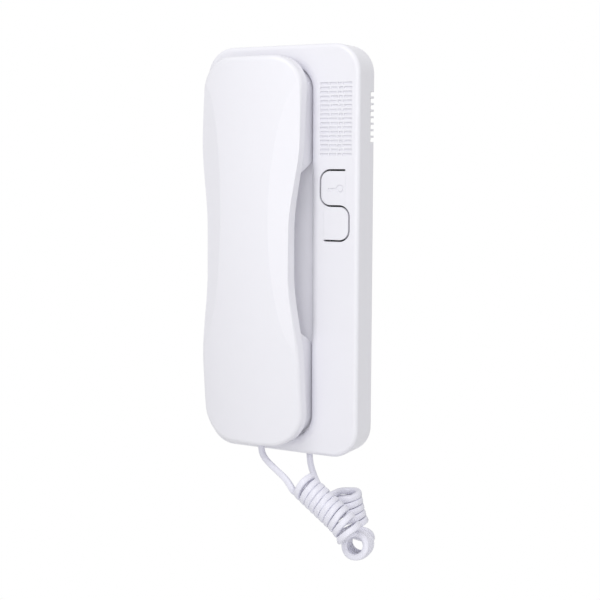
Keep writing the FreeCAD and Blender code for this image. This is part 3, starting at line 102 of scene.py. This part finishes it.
# Shared effects. Scales are per metre.
FLAT_COSINE = 0.97          # softened normals closer than this to the true one aren't an edge
EDGE_GAIN = 8.0
EDGE_NOISE_SCALE = 320.0
WAVE_SCALE = 45.0
PATCH_SCALE = 18.0
HANDLED_SCALE = 60.0
HANDLED_CHANGE = 0.1        # small, so that the whites keep an even gloss
EDGE_POLISH = -0.02
LEAST_ROUGHNESS = 0.05
STREAK_STRETCH = (9000.0, 9000.0, 500.0)
CLOUD_SCALE = 700.0
SPECK_SCALE = 2500.0
SPECK_SIZE = 0.16
SPECK_DIM = -0.18
CLOUD_TONE = (0.24, 0.86)   # change and least value
METAL_ROUGH_CHANGE = 0.2
TRACKS_PER_CELL = 3.0
TRACK_GAP = 0.62


def edge_group():
    """Softened normals and a mask of the edges, which fingers rub smoother and on which a
    highlight is painted.
    """
    group, given, result = new_group(
        "edge wear and painted highlight", [("Radius", "NodeSocketFloat", 0.0003)],
        [("Normal", "NodeSocketVector"), ("Mask", "NodeSocketFloat")])
    soft = add(group, "ShaderNodeBevel", samples=4)
    group.links.new(given.outputs["Radius"], soft.inputs["Radius"])
    true = add(group, "ShaderNodeNewGeometry")
    apart = add(group, "ShaderNodeVectorMath", operation="DOT_PRODUCT")
    group.links.new(soft.outputs["Normal"], apart.inputs[0])
    group.links.new(true.outputs["Normal"], apart.inputs[1])
    turned = maths(group, "SUBTRACT", FLAT_COSINE, apart.outputs["Value"])
    where = add(group, "ShaderNodeTexCoord")
    broken = noise(group, where.outputs["Object"], EDGE_NOISE_SCALE, 3.0)
    gain = maths(group, "MULTIPLY", broken.outputs["Fac"], EDGE_GAIN)
    worn_and_highlit = maths(group, "MULTIPLY", turned, gain)
    clamped = maths(group, "MINIMUM", maths(group, "MAXIMUM", worn_and_highlit, 0.0), 1.0)
    group.links.new(soft.outputs["Normal"], result.inputs["Normal"])
    group.links.new(clamped, result.inputs["Mask"])
    return group


def moulded_group():
    """Mould grain, slow waviness of the wall, faint tone changes, handled patches, smoother rubbed
    edges and a painted highlight that lightens the edges' colour.
    """
    group, given, result = new_group(
        "moulded plastic",
        [("Colour", "NodeSocketColor", (0.8, 0.8, 0.8, 1)), ("Roughness", "NodeSocketFloat", 0.3),
         ("Grain Scale", "NodeSocketFloat", 2500.0), ("Grain Depth", "NodeSocketFloat", 0.1),
         ("Wave Depth", "NodeSocketFloat", 0.1), ("Tone Change", "NodeSocketFloat", 0.02),
         ("Edge Mask", "NodeSocketFloat", 0.0), ("Painted Edge Highlight", "NodeSocketFloat", 0.03)],
        [("Colour", "NodeSocketColor"), ("Roughness", "NodeSocketFloat"),
         ("Height", "NodeSocketFloat")])
    where = add(group, "ShaderNodeTexCoord").outputs["Object"]
    grain = noise(group, where, 1.0, 3.0)
    group.links.new(given.outputs["Grain Scale"], grain.inputs["Scale"])
    wave = noise(group, where, WAVE_SCALE, 1.0)
    patch = noise(group, where, PATCH_SCALE, 4.0)
    handled = noise(group, where, HANDLED_SCALE, 5.0)

    fine = maths(group, "MULTIPLY", grain.outputs["Fac"], given.outputs["Grain Depth"])
    slow = maths(group, "MULTIPLY", wave.outputs["Fac"], given.outputs["Wave Depth"])
    group.links.new(maths(group, "ADD", fine, slow), result.inputs["Height"])

    centred = maths(group, "SUBTRACT", patch.outputs["Fac"], 0.5)
    tone = maths(group, "MULTIPLY_ADD", centred, given.outputs["Tone Change"], 1.0)
    # painted highlight: the colour is made lighter along the edge mask
    lit = maths(group, "MULTIPLY", given.outputs["Edge Mask"], given.outputs["Painted Edge Highlight"])
    shaded = add(group, "ShaderNodeVectorMath", operation="SCALE")
    group.links.new(given.outputs["Colour"], shaded.inputs["Vector"])
    group.links.new(maths(group, "ADD", tone, lit), shaded.inputs["Scale"])
    group.links.new(shaded.outputs["Vector"], result.inputs["Colour"])

    polish = maths(group, "SUBTRACT", handled.outputs["Fac"], 0.5)
    rough = maths(group, "MULTIPLY_ADD", polish, HANDLED_CHANGE, given.outputs["Roughness"])
    edge = maths(group, "MULTIPLY_ADD", given.outputs["Edge Mask"], EDGE_POLISH, rough)
    group.links.new(maths(group, "MAXIMUM", edge, LEAST_ROUGHNESS), result.inputs["Roughness"])
    return group


def metal_group():
    """Drawn streaks along Z, plating cloud and dull specks."""
    group, given, result = new_group(
        "plated metal",
        [("Colour", "NodeSocketColor", (0.6, 0.6, 0.6, 1)), ("Roughness", "NodeSocketFloat", 0.3)],
        [("Colour", "NodeSocketColor"), ("Roughness", "NodeSocketFloat"),
         ("Height", "NodeSocketFloat")])
    where = add(group, "ShaderNodeTexCoord").outputs["Object"]
    drawn = add(group, "ShaderNodeMapping", {"Scale": STREAK_STRETCH})
    group.links.new(where, drawn.inputs["Vector"])
    streak = noise(group, drawn.outputs["Vector"], 1.0, 2.0)
    cloud = noise(group, where, CLOUD_SCALE, 4.0)
    speck = add(group, "ShaderNodeTexVoronoi", {"Scale": SPECK_SCALE})
    group.links.new(where, speck.inputs["Vector"])
    dull = maths(group, "LESS_THAN", speck.outputs["Distance"], SPECK_SIZE)
    tone = maths(group, "MULTIPLY_ADD", cloud.outputs["Fac"], *CLOUD_TONE)
    dimmed = maths(group, "MULTIPLY_ADD", dull, SPECK_DIM, tone)
    shaded = add(group, "ShaderNodeVectorMath", operation="SCALE")
    group.links.new(given.outputs["Colour"], shaded.inputs["Vector"])
    group.links.new(dimmed, shaded.inputs["Scale"])
    group.links.new(shaded.outputs["Vector"], result.inputs["Colour"])
    rough = maths(group, "MULTIPLY_ADD", streak.outputs["Fac"], METAL_ROUGH_CHANGE,
                  given.outputs["Roughness"])
    group.links.new(maths(group, "MULTIPLY_ADD", dull, METAL_ROUGH_CHANGE, rough),
                    result.inputs["Roughness"])
    group.links.new(streak.outputs["Fac"], result.inputs["Height"])
    return group


def track_group():
    """Copper tracks under the lacquer of the circuit board, as a mask."""
    group, given, result = new_group(
        "board tracks", [("Pitch", "NodeSocketFloat", 420.0)], [("Mask", "NodeSocketFloat")])
    where = add(group, "ShaderNodeTexCoord").outputs["Object"]
    cell = add(group, "ShaderNodeTexVoronoi", {"Randomness": 1.0}, distance="CHEBYCHEV",
               feature="F1")
    group.links.new(where, cell.inputs["Vector"])
    group.links.new(given.outputs["Pitch"], cell.inputs["Scale"])
    spread = maths(group, "MULTIPLY", cell.outputs["Distance"], TRACKS_PER_CELL)
    band = maths(group, "FRACT", spread)
    group.links.new(maths(group, "GREATER_THAN", band, TRACK_GAP), result.inputs["Mask"])
    return group


EDGE_WEAR_AND_HIGHLIGHT = edge_group()
MOULDED = moulded_group()
PLATED = metal_group()
TRACKS = track_group()


# Finishes
BUMP_STRENGTH = 0.15
BUMP_DISTANCE = 0.0002
METAL_BUMP = 0.08
PLASTIC_WAVE = 0.05
PLASTIC_IOR = 1.5
# nearly black lacquer: a dark green, darkened further as painted shade seen through the key slits
LACQUER_DARK_WITH_PAINTED_SHADE = (0.008, 0.022, 0.014, 1)
LACQUER_ON_TRACK = (0.02, 0.06, 0.032, 1)


def new_material(name, group):
    """A material whose shader takes colour, roughness and height from a group."""
    material = bpy.data.materials.new(name)
    material.use_nodes = True
    tree = material.node_tree
    shader = tree.nodes["Principled BSDF"]
    surface = add(tree, "ShaderNodeGroup", node_tree=group)
    bump = add(tree, "ShaderNodeBump", {"Strength": BUMP_STRENGTH, "Distance": BUMP_DISTANCE})
    tree.links.new(surface.outputs["Colour"], shader.inputs["Base Color"])
    tree.links.new(surface.outputs["Roughness"], shader.inputs["Roughness"])
    tree.links.new(surface.outputs["Height"], bump.inputs["Height"])
    tree.links.new(bump.outputs["Normal"], shader.inputs["Normal"])
    return material, tree, shader, surface, bump


def moulded(name, colour, roughness, grain=0.1, tone=0.02, edge=0.0003):
    """Moulded plastic or rubber with its own colour, grain and edge radius."""
    material, tree, shader, surface, bump = new_material(name, MOULDED)
    set_inputs(shader, {"IOR": PLASTIC_IOR})
    set_inputs(surface, {"Colour": (*colour, 1), "Roughness": roughness, "Grain Depth": grain,
                         "Wave Depth": PLASTIC_WAVE, "Tone Change": tone})
    if edge:
        # the edge mask makes rubbed edges smoother and carries a painted highlight on their colour
        edge_wear_and_highlight = add(tree, "ShaderNodeGroup", node_tree=EDGE_WEAR_AND_HIGHLIGHT)
        set_inputs(edge_wear_and_highlight, {"Radius": edge})
        tree.links.new(edge_wear_and_highlight.outputs["Normal"], bump.inputs["Normal"])
        tree.links.new(edge_wear_and_highlight.outputs["Mask"], surface.inputs["Edge Mask"])
    return material


def plated(name, colour, roughness):
    """Bright metal with drawn streaks."""
    material, _, shader, surface, bump = new_material(name, PLATED)
    set_inputs(shader, {"Metallic": 1.0})
    set_inputs(surface, {"Colour": (*colour, 1), "Roughness": roughness})
    set_inputs(bump, {"Strength": METAL_BUMP})
    return material


def board_laminate():
    """Green lacquer over copper tracks; the lacquer is darkened nearly to black as painted shade
    in the key slits.
    """
    material, tree, shader, surface, _ = new_material("green laminate", MOULDED)
    tracks = add(tree, "ShaderNodeGroup", node_tree=TRACKS)
    mix = add(tree, "ShaderNodeMix", data_type="RGBA")
    set_inputs(mix, {"A": LACQUER_DARK_WITH_PAINTED_SHADE, "B": LACQUER_ON_TRACK})
    tree.links.new(tracks.outputs["Mask"], mix.inputs["Factor"])
    tree.links.new(mix.outputs["Result"], surface.inputs["Colour"])
    set_inputs(surface, {"Tone Change": 0.2})
    set_inputs(shader, {"Coat Weight": 0.4, "Coat Roughness": 0.15})
    return material


WHITE = (0.897, 0.892, 0.945)
cover_white = moulded("glossy white cover", WHITE, 0.36)
handset_white = moulded("glossy white handset", WHITE, 0.34, grain=0.06)
inner_white = moulded("satin white inside", (0.84, 0.838, 0.86), 0.45, grain=0.4, edge=0)
# painted shade: the cord's white is darker and bluer than the cover's, standing for the shade the
# coil hangs in below the handset
cord_white = moulded("satin white cord with painted shade", (0.85, 0.845, 0.935), 0.40, grain=0.2, tone=0.03, edge=0)
black_plastic = moulded("black moulded plastic", (0.03, 0.03, 0.033), 0.45, grain=0.5, tone=0.2)
rubber = moulded("black rubber", (0.025, 0.025, 0.025), 0.75, grain=0.8, tone=0.3, edge=0)
laminate = board_laminate()
film = moulded("grey film", (0.22, 0.22, 0.23), 0.35, grain=0.3, tone=0.15, edge=0)
steel = plated("zinc plated steel", (0.66, 0.66, 0.68), 0.2)
brass = plated("brass", (0.78, 0.61, 0.3), 0.22)
solder = plated("tin solder", (0.75, 0.75, 0.76), 0.25)
resistor_black = moulded("glazed resistor", (0.02, 0.02, 0.022), 0.3, grain=0.2, tone=0.3, edge=0)

FINISHES = {
    "abs_white": cover_white, "cord_white": cord_white, "dark_plastic": black_plastic,
    "board": laminate, "cone": film, "steel": steel, "brass": brass, "rubber": rubber,
}
slot_of = {part["node"]: part["material_slot"] for part in frame["record"]["subparts"]}


def finish(obj, material):
    """One material on the whole object."""
    if obj.data.materials:
        for slot in obj.material_slots:
            slot.material = material
    else:
        obj.data.materials.append(material)


for name, obj in frame["nodes"].items():
    finish(obj, FINISHES[slot_of[name]])
for name in ("handset_front", "handset_rear", "handset_cord_bushing"):
    finish(frame["nodes"][name], handset_white)
for name in ("wall_plate", "hook_lever"):
    finish(frame["nodes"][name], inner_white)


# Rows of resistors and solder dots on the circuit board, in metres
RESISTOR_SIZE = (0.0011, 0.0005, 0.0009)
RESISTOR_PLACE = (0, -0.00026, 0)
DOT_SIZE = (0.0004, 0.00042, 0.001)
DOT_OFFSET = 0.0008
DOT_DEPTH = -0.00022
SHARE_FITTED = 0.72


def board_rows():
    """Geometry nodes that set resistors and solder dots in rows on the board's front."""
    group = bpy.data.node_groups.new("board rows", "GeometryNodeTree")
    face = group.interface
    for label, kind, default in (("Columns", "NodeSocketInt", 4), ("Rows", "NodeSocketInt", 9),
                                 ("Pitch Across", "NodeSocketFloat", 0.0034),
                                 ("Pitch Up", "NodeSocketFloat", 0.0026),
                                 ("Seed", "NodeSocketInt", 7),
                                 ("Body Material", "NodeSocketMaterial", None),
                                 ("Dot Material", "NodeSocketMaterial", None)):
        socket = face.new_socket(label, in_out="INPUT", socket_type=kind)
        if default is not None:
            socket.default_value = default
    face.new_socket("Geometry", in_out="OUTPUT", socket_type="NodeSocketGeometry")
    given = group.nodes.new("NodeGroupInput")
    result = group.nodes.new("NodeGroupOutput")
    link = group.links.new

    grid = group.nodes.new("GeometryNodeMeshGrid")
    for pitch, count, size, vertices in (("Pitch Across", "Columns", "Size X", "Vertices X"),
                                         ("Pitch Up", "Rows", "Size Y", "Vertices Y")):
        spaces = maths(group, "SUBTRACT", given.outputs[count], 1.0)
        link(maths(group, "MULTIPLY", spaces, given.outputs[pitch]), grid.inputs[size])
        link(given.outputs[count], grid.inputs[vertices])
    upright = add(group, "GeometryNodeTransform", {"Rotation": (math.pi / 2, 0, 0)})
    link(grid.outputs["Mesh"], upright.inputs["Geometry"])
    chance = add(group, "FunctionNodeRandomValue", {"Probability": SHARE_FITTED},
                 data_type="BOOLEAN")
    link(given.outputs["Seed"], chance.inputs["Seed"])
    picked = group.nodes.new("GeometryNodeMeshToPoints")
    link(upright.outputs["Geometry"], picked.inputs["Mesh"])
    link(chance.outputs[3], picked.inputs["Selection"])

    def block_of(size, offset, material):
        block = add(group, "GeometryNodeMeshCube", {"Size": size})
        moved = add(group, "GeometryNodeTransform", {"Translation": offset})
        coated = group.nodes.new("GeometryNodeSetMaterial")
        link(block.outputs["Mesh"], moved.inputs["Geometry"])
        link(moved.outputs["Geometry"], coated.inputs["Geometry"])
        link(given.outputs[material], coated.inputs["Material"])
        return coated.outputs["Geometry"]

    chip = group.nodes.new("GeometryNodeJoinGeometry")
    link(block_of(RESISTOR_SIZE, RESISTOR_PLACE, "Body Material"), chip.inputs["Geometry"])
    for side in (-1, 1):
        link(block_of(DOT_SIZE, (side * DOT_OFFSET, DOT_DEPTH, 0), "Dot Material"),
             chip.inputs["Geometry"])
    placed = group.nodes.new("GeometryNodeInstanceOnPoints")
    link(picked.outputs["Points"], placed.inputs["Points"])
    link(chip.outputs["Geometry"], placed.inputs["Instance"])
    real = group.nodes.new("GeometryNodeRealizeInstances")
    link(placed.outputs["Instances"], real.inputs["Geometry"])
    link(real.outputs["Geometry"], result.inputs["Geometry"])
    return group


def board_components(name, centre, columns, rows, seed):
    """One field of components at a centre in millimetres, as a plain mesh on the board."""
    group = board_rows()
    sockets = {item.name: item.identifier for item in group.interface.items_tree
               if item.in_out == "INPUT"}
    holder = bpy.data.objects.new(name, bpy.data.meshes.new(name))
    scene.collection.objects.link(holder)
    maker = holder.modifiers.new("board rows", "NODES")
    maker.node_group = group
    for label, value in (("Columns", columns), ("Rows", rows), ("Seed", seed),
                         ("Body Material", resistor_black), ("Dot Material", solder)):
        maker[sockets[label]] = value
    graph = bpy.context.evaluated_depsgraph_get()
    mesh = bpy.data.meshes.new_from_object(holder.evaluated_get(graph))
    holder.modifiers.remove(maker)
    for vertex in mesh.vertices:
        vertex.co += Vector(centre) * MM
    holder.data = mesh
    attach(holder, "base")


BOARD_MIDDLE = 31.4
BOARD_FRONT = -7.6
board_components("board_components_middle", (BOARD_MIDDLE, BOARD_FRONT, -5.5), 5, 5, 7)
board_components("board_components_lower", (BOARD_MIDDLE, BOARD_FRONT, -47.0), 4, 6, 12)


# Curly cord, one line from the handset to the base. Lengths are in millimetres.
CORD_DIAMETER = 3.2
LEAD_POWER = 2.0            # a round section
COIL_POWER = 4.0            # a rounded square section
POWER_FOLLOW = 0.15         # how fast the section changes from one to the other
SIDE_FOLLOW = 0.25          # how fast the flat sides turn to face outwards
COIL_RADIUS = 5.8
COIL_REACH = 0.3            # a point this near to the coil's radius is on the coil
TURN_GAP = 0.08
LEAST_PITCH_SHARE = 0.25    # at the fold, where the turns fan out
POINTS_PER_TURN = 14
TURNS_WAY = 1               # -1 would turn the other way
NURBS_ORDER = 3
AXIS_RESOLUTION = 60
CORD_RESOLUTION = 3
RING_SPACING = 0.5
HANDSET_LEAD = [(-9.25, -22.4, -95.35), (-10.3, -22.4, -101.2), (-7.6, -24.4, -106.3),
                (2.0, -29.0, -110.3), (10.6, -32.4, -113.8)]
COIL_AXIS = [(14.5, -31.5, -112.2), (30, -31.9, -123.1), (45.8, -32.4, -134.2),
             (48.9, -34.2, -143.2), (42.6, -8.6, -147.6), (35, -9.6, -134), (33.4, -9.9, -119.8)]
BASE_LEAD = [(27.8, -13.4, -123.6), (26.2, -16.8, -124.3), (21, -15.6, -121.6),
             (15.6, -11.8, -116.5), (11.9, -10, -109.5), (11.8, -10, -103.8)]
FIRST_SIDE = Vector((-0.1, -0.98, -0.15))
LAST_SIDE = Vector((-1, 0, 0))
# Distance along the coil's axis and angle in degrees, over the coil's first turn
LEAD_IN = [(4.2, 60), (5.0, 85), (5.5, 110), (5.8, 140), (6.0, 170), (6.1, 200), (6.2, 230),
           (6.3, 260), (6.4, 290), (6.5, 320), (6.8, 350), (7.4, 380)]
HELIX_START = (8.2, 410)


def nurbs_points(points, resolution):
    """Points read from a smooth NURBS spline over a route's control points, in millimetres."""
    curve = bpy.data.curves.new("route", "CURVE")
    curve.dimensions = "3D"
    spline = curve.splines.new("NURBS")
    spline.points.add(len(points) - 1)
    for point, place in zip(spline.points, points):
        point.co = (*[c * MM for c in place], 1)
    spline.order_u = NURBS_ORDER
    spline.use_endpoint_u = True
    spline.resolution_u = resolution
    obj = bpy.data.objects.new("route", curve)
    scene.collection.objects.link(obj)
    bpy.context.view_layer.update()
    graph = bpy.context.evaluated_depsgraph_get()
    mesh = bpy.data.meshes.new_from_object(obj.evaluated_get(graph))
    found = [v.co / MM for v in mesh.vertices]
    bpy.data.objects.remove(obj)
    bpy.data.curves.remove(curve)
    bpy.data.meshes.remove(mesh)
    return found


def frames_along(points, side):
    """Directions and untwisting side vectors along a line of points."""
    result = []
    for i, here in enumerate(points):
        before = points[max(i - 1, 0)]
        after = points[min(i + 1, len(points) - 1)]
        way = (after - before).normalized()
        side = (side - way * side.dot(way)).normalized()
        result.append((here, way, side.copy(), way.cross(side)))
    return result


def coil_points():
    """Control points of the coil, whose first turn closes round its end, and its axis.

    The turns lie side by side, and spread where the axis bends, so that their inner sides
    have room.
    """
    frames = frames_along(nurbs_points(COIL_AXIS, AXIS_RESOLUTION), FIRST_SIDE)
    lengths = [0.0]
    turns = [0.0]
    pitch = CORD_DIAMETER + TURN_GAP
    outer_radius = COIL_RADIUS + CORD_DIAMETER / 2
    for (here, way, *_), (after, way_after, *_) in zip(frames, frames[1:]):
        step = (after - here).length
        bend = way.angle(way_after) / step
        share = max(LEAST_PITCH_SHARE, 1 - outer_radius * bend)
        lengths.append(lengths[-1] + step)
        turns.append(turns[-1] + step * share / pitch)

    def on_coil(u, degrees):
        index = next(i for i, length in enumerate(lengths) if length >= u)
        here, _, side, other = frames[index]
        angle = math.radians(degrees) * TURNS_WAY
        return here + (side * math.cos(angle) + other * math.sin(angle)) * COIL_RADIUS

    first = next(i for i, u in enumerate(lengths) if u >= HELIX_START[0])
    last = next(i for i, u in enumerate(lengths) if u >= lengths[-1] - CORD_DIAMETER)
    _, _, side, other = frames[last]
    final = math.degrees(math.atan2(LAST_SIDE.dot(other), LAST_SIDE.dot(side))) * TURNS_WAY
    wanted = (turns[last] - turns[first]) * 360
    total = wanted + (final - HELIX_START[1] - wanted + 180) % 360 - 180
    count = int(total / 360 * POINTS_PER_TURN)
    points = [on_coil(u, degrees) for u, degrees in LEAD_IN]
    index = first
    for k in range(count + 1):
        target = turns[first] + (turns[last] - turns[first]) * k / count
        while index < last and turns[index] < target:
            index += 1
        points.append(on_coil(lengths[index], HELIX_START[1] + total * k / count))
    print("coil turns", round(total / 360, 2), "axis", round(lengths[-1], 1))
    return points, [here for here, *_ in frames]


def outward_sides(line, axis):
    """Sides that never twist on the leads and face away from the coil's axis on the coil."""
    finder = kdtree.KDTree(len(axis))
    for i, point in enumerate(axis):
        finder.insert(point, i)
    finder.balance()
    count = len(line)
    ways = [(line[min(i + 1, count - 1)] - line[max(i - 1, 0)]).normalized() for i in range(count)]
    sides = [None] * count
    powers = [None] * count
    for walk in (range(count // 2, count), range(count // 2, -1, -1)):
        side = None
        power = COIL_POWER
        for i in walk:
            near, _, away = finder.find(line[i])
            outward = (line[i] - near).normalized()
            on_coil = abs(away - COIL_RADIUS) < COIL_REACH
            if side is None:
                side = outward
            elif on_coil:
                side = side.lerp(outward, SIDE_FOLLOW)
            side = (side - ways[i] * side.dot(ways[i])).normalized()
            power += ((COIL_POWER if on_coil else LEAD_POWER) - power) * POWER_FOLLOW
            sides[i] = side
            powers[i] = power
    others = [way.cross(side) for way, side in zip(ways, sides)]
    return list(zip(line, sides, others, powers))


def rounded(factor, power):
    """A cosine or sine drawn out towards the corners of a rounded square."""
    return math.copysign(abs(factor) ** (2 / power), factor)


def tube_mesh(name, frames, radius, sides=16):
    """A closed cord of rounded square section along a line of frames, in millimetres."""
    shape = bmesh.new()
    rings = []
    for here, side, other, power in frames:
        ring = []
        for i in range(sides):
            angle = 2 * math.pi * i / sides
            offset = (side * rounded(math.cos(angle), power)
                      + other * rounded(math.sin(angle), power))
            ring.append(shape.verts.new((here + offset * radius) * MM))
        rings.append(ring)
    for low, high in zip(rings, rings[1:]):
        for i in range(sides):
            j = (i + 1) % sides
            shape.faces.new((low[i], low[j], high[j], high[i]))
    shape.faces.new(list(reversed(rings[0])))
    shape.faces.new(rings[-1])
    bmesh.ops.recalc_face_normals(shape, faces=shape.faces)
    for face in shape.faces:
        face.smooth = len(face.verts) == 4
    mesh = bpy.data.meshes.new(name)
    shape.to_mesh(mesh)
    shape.free()
    return mesh


def thinned(points, spacing):
    """The same line with its points about a spacing apart."""
    kept = [points[0]]
    for point in points[1:-1]:
        if (point - kept[-1]).length >= spacing:
            kept.append(point)
    return kept + [points[-1]]


coil, coil_axis = coil_points()
route = [Vector(p) for p in HANDSET_LEAD] + coil + [Vector(p) for p in BASE_LEAD]
cord_line = thinned(nurbs_points(route, CORD_RESOLUTION), RING_SPACING)
cord = bpy.data.objects.new(
    "curly_cord",
    tube_mesh("curly_cord", outward_sides(cord_line, coil_axis), CORD_DIAMETER / 2))
cord.data.materials.append(cord_white)
scene.collection.objects.link(cord)
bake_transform(cord)
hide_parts("cord_handset_lead", "cord_coil", "cord_base_lead")


# Floor, backdrop, light and camera
WORLD_LIGHT = 0.585         # what the white room gives to surfaces that scatter light
PAPER_TONE = (0.8, 0.8, 0.8, 1)
PAPER_NEAR = -3.0
PAPER_HALF_WIDTH = 3.0
AIM = (0, -0.02, -0.02)
LAMP_SIDES = (0.6, 0.6)
LAMPS = (("front_light", (0.1, -0.65, 0.75), 2.9), ("camera_light", (0.5, -0.85, 0.1), 2.1))
CAMERA_PLACE = (0.2936, -0.5509, 0.045)
CAMERA_TARGET = (-0.0015, 0.004, -0.02703)
CAMERA_LENS = 71.93
CAMERA_ROLL = 0.177
SENSOR_WIDTH = 36.0


def seen_rays(tree):
    """One for the camera's rays and for reflected and transmitted ones, otherwise zero."""
    light = add(tree, "ShaderNodeLightPath")
    bright = maths(tree, "MAXIMUM", light.outputs["Is Camera Ray"], light.outputs["Is Glossy Ray"])
    return maths(tree, "MAXIMUM", bright, light.outputs["Is Transmission Ray"])


def stage_material():
    """White to the camera and to reflections, and plain pale to everything else."""
    material = bpy.data.materials.new("white paper")
    material.use_nodes = True
    tree = material.node_tree
    tree.nodes.clear()
    out = add(tree, "ShaderNodeOutputMaterial")
    seen = add(tree, "ShaderNodeEmission", {"Color": (1, 1, 1, 1), "Strength": 1.0})
    plain = add(tree, "ShaderNodeBsdfDiffuse", {"Color": PAPER_TONE})
    mix = add(tree, "ShaderNodeMixShader")
    tree.links.new(seen_rays(tree), mix.inputs[0])
    tree.links.new(plain.outputs[0], mix.inputs[1])
    tree.links.new(seen.outputs[0], mix.inputs[2])
    tree.links.new(mix.outputs[0], out.inputs["Surface"])
    return material


def stage_sheet():
    """A floor that curves up into a backdrop behind the wall's plane."""
    low, far, high, round_radius = -0.30, 1.2, 1.6, 0.4
    profile = [(PAPER_NEAR, low), (far - round_radius, low)]
    steps = 12
    for i in range(1, steps + 1):
        angle = math.pi / 2 * i / steps
        profile.append((far - round_radius + round_radius * math.sin(angle),
                        low + round_radius - round_radius * math.cos(angle)))
    profile.append((far, high))
    shape = bmesh.new()
    rows = [[shape.verts.new((x, y, z)) for x in (-PAPER_HALF_WIDTH, PAPER_HALF_WIDTH)]
            for y, z in profile]
    for (a, b), (c, d) in zip(rows, rows[1:]):
        shape.faces.new((a, b, d, c)).smooth = True
    mesh = bpy.data.meshes.new("studio_sheet")
    shape.to_mesh(mesh)
    shape.free()
    mesh.materials.append(stage_material())
    sheet = bpy.data.objects.new("studio_sheet", mesh)
    scene.collection.objects.link(sheet)


def looking(name, data, place, target):
    """An object at a place whose front looks at a target."""
    obj = bpy.data.objects.new(name, data)
    obj.location = place
    obj.rotation_euler = (Vector(target) - Vector(place)).to_track_quat("-Z", "Y").to_euler()
    scene.collection.objects.link(obj)
    return obj


def softbox(name, place, power):
    """A square lamp that looks at the middle of the telephone."""
    lamp = bpy.data.lights.new(name, "AREA")
    lamp.shape = "RECTANGLE"
    lamp.size, lamp.size_y = LAMP_SIDES
    lamp.energy = power
    looking(name, lamp, place, AIM)


def light_up():
    """Even room light, with a soft lamp above in front and one beside the camera."""
    world = bpy.data.worlds.new("studio")
    scene.world = world
    world.use_nodes = True
    tree = world.node_tree
    ground = tree.nodes["Background"]
    set_inputs(ground, {"Color": (1, 1, 1, 1)})
    level = add(tree, "ShaderNodeMapRange", {"To Min": WORLD_LIGHT, "To Max": 1.0})
    tree.links.new(seen_rays(tree), level.inputs["Value"])
    tree.links.new(level.outputs["Result"], ground.inputs["Strength"])
    for name, place, power in LAMPS:
        softbox(name, place, power)


def photo_camera():
    """The photo's camera."""
    camera = bpy.data.cameras.new("photo_camera")
    camera.lens = CAMERA_LENS
    camera.sensor_width = SENSOR_WIDTH
    obj = looking("photo_camera", camera, CAMERA_PLACE, CAMERA_TARGET)
    obj.rotation_euler.rotate_axis("Z", math.radians(CAMERA_ROLL))
    scene.camera = obj


stage_sheet()
light_up()
photo_camera()
scene.view_settings.view_transform = "Standard"
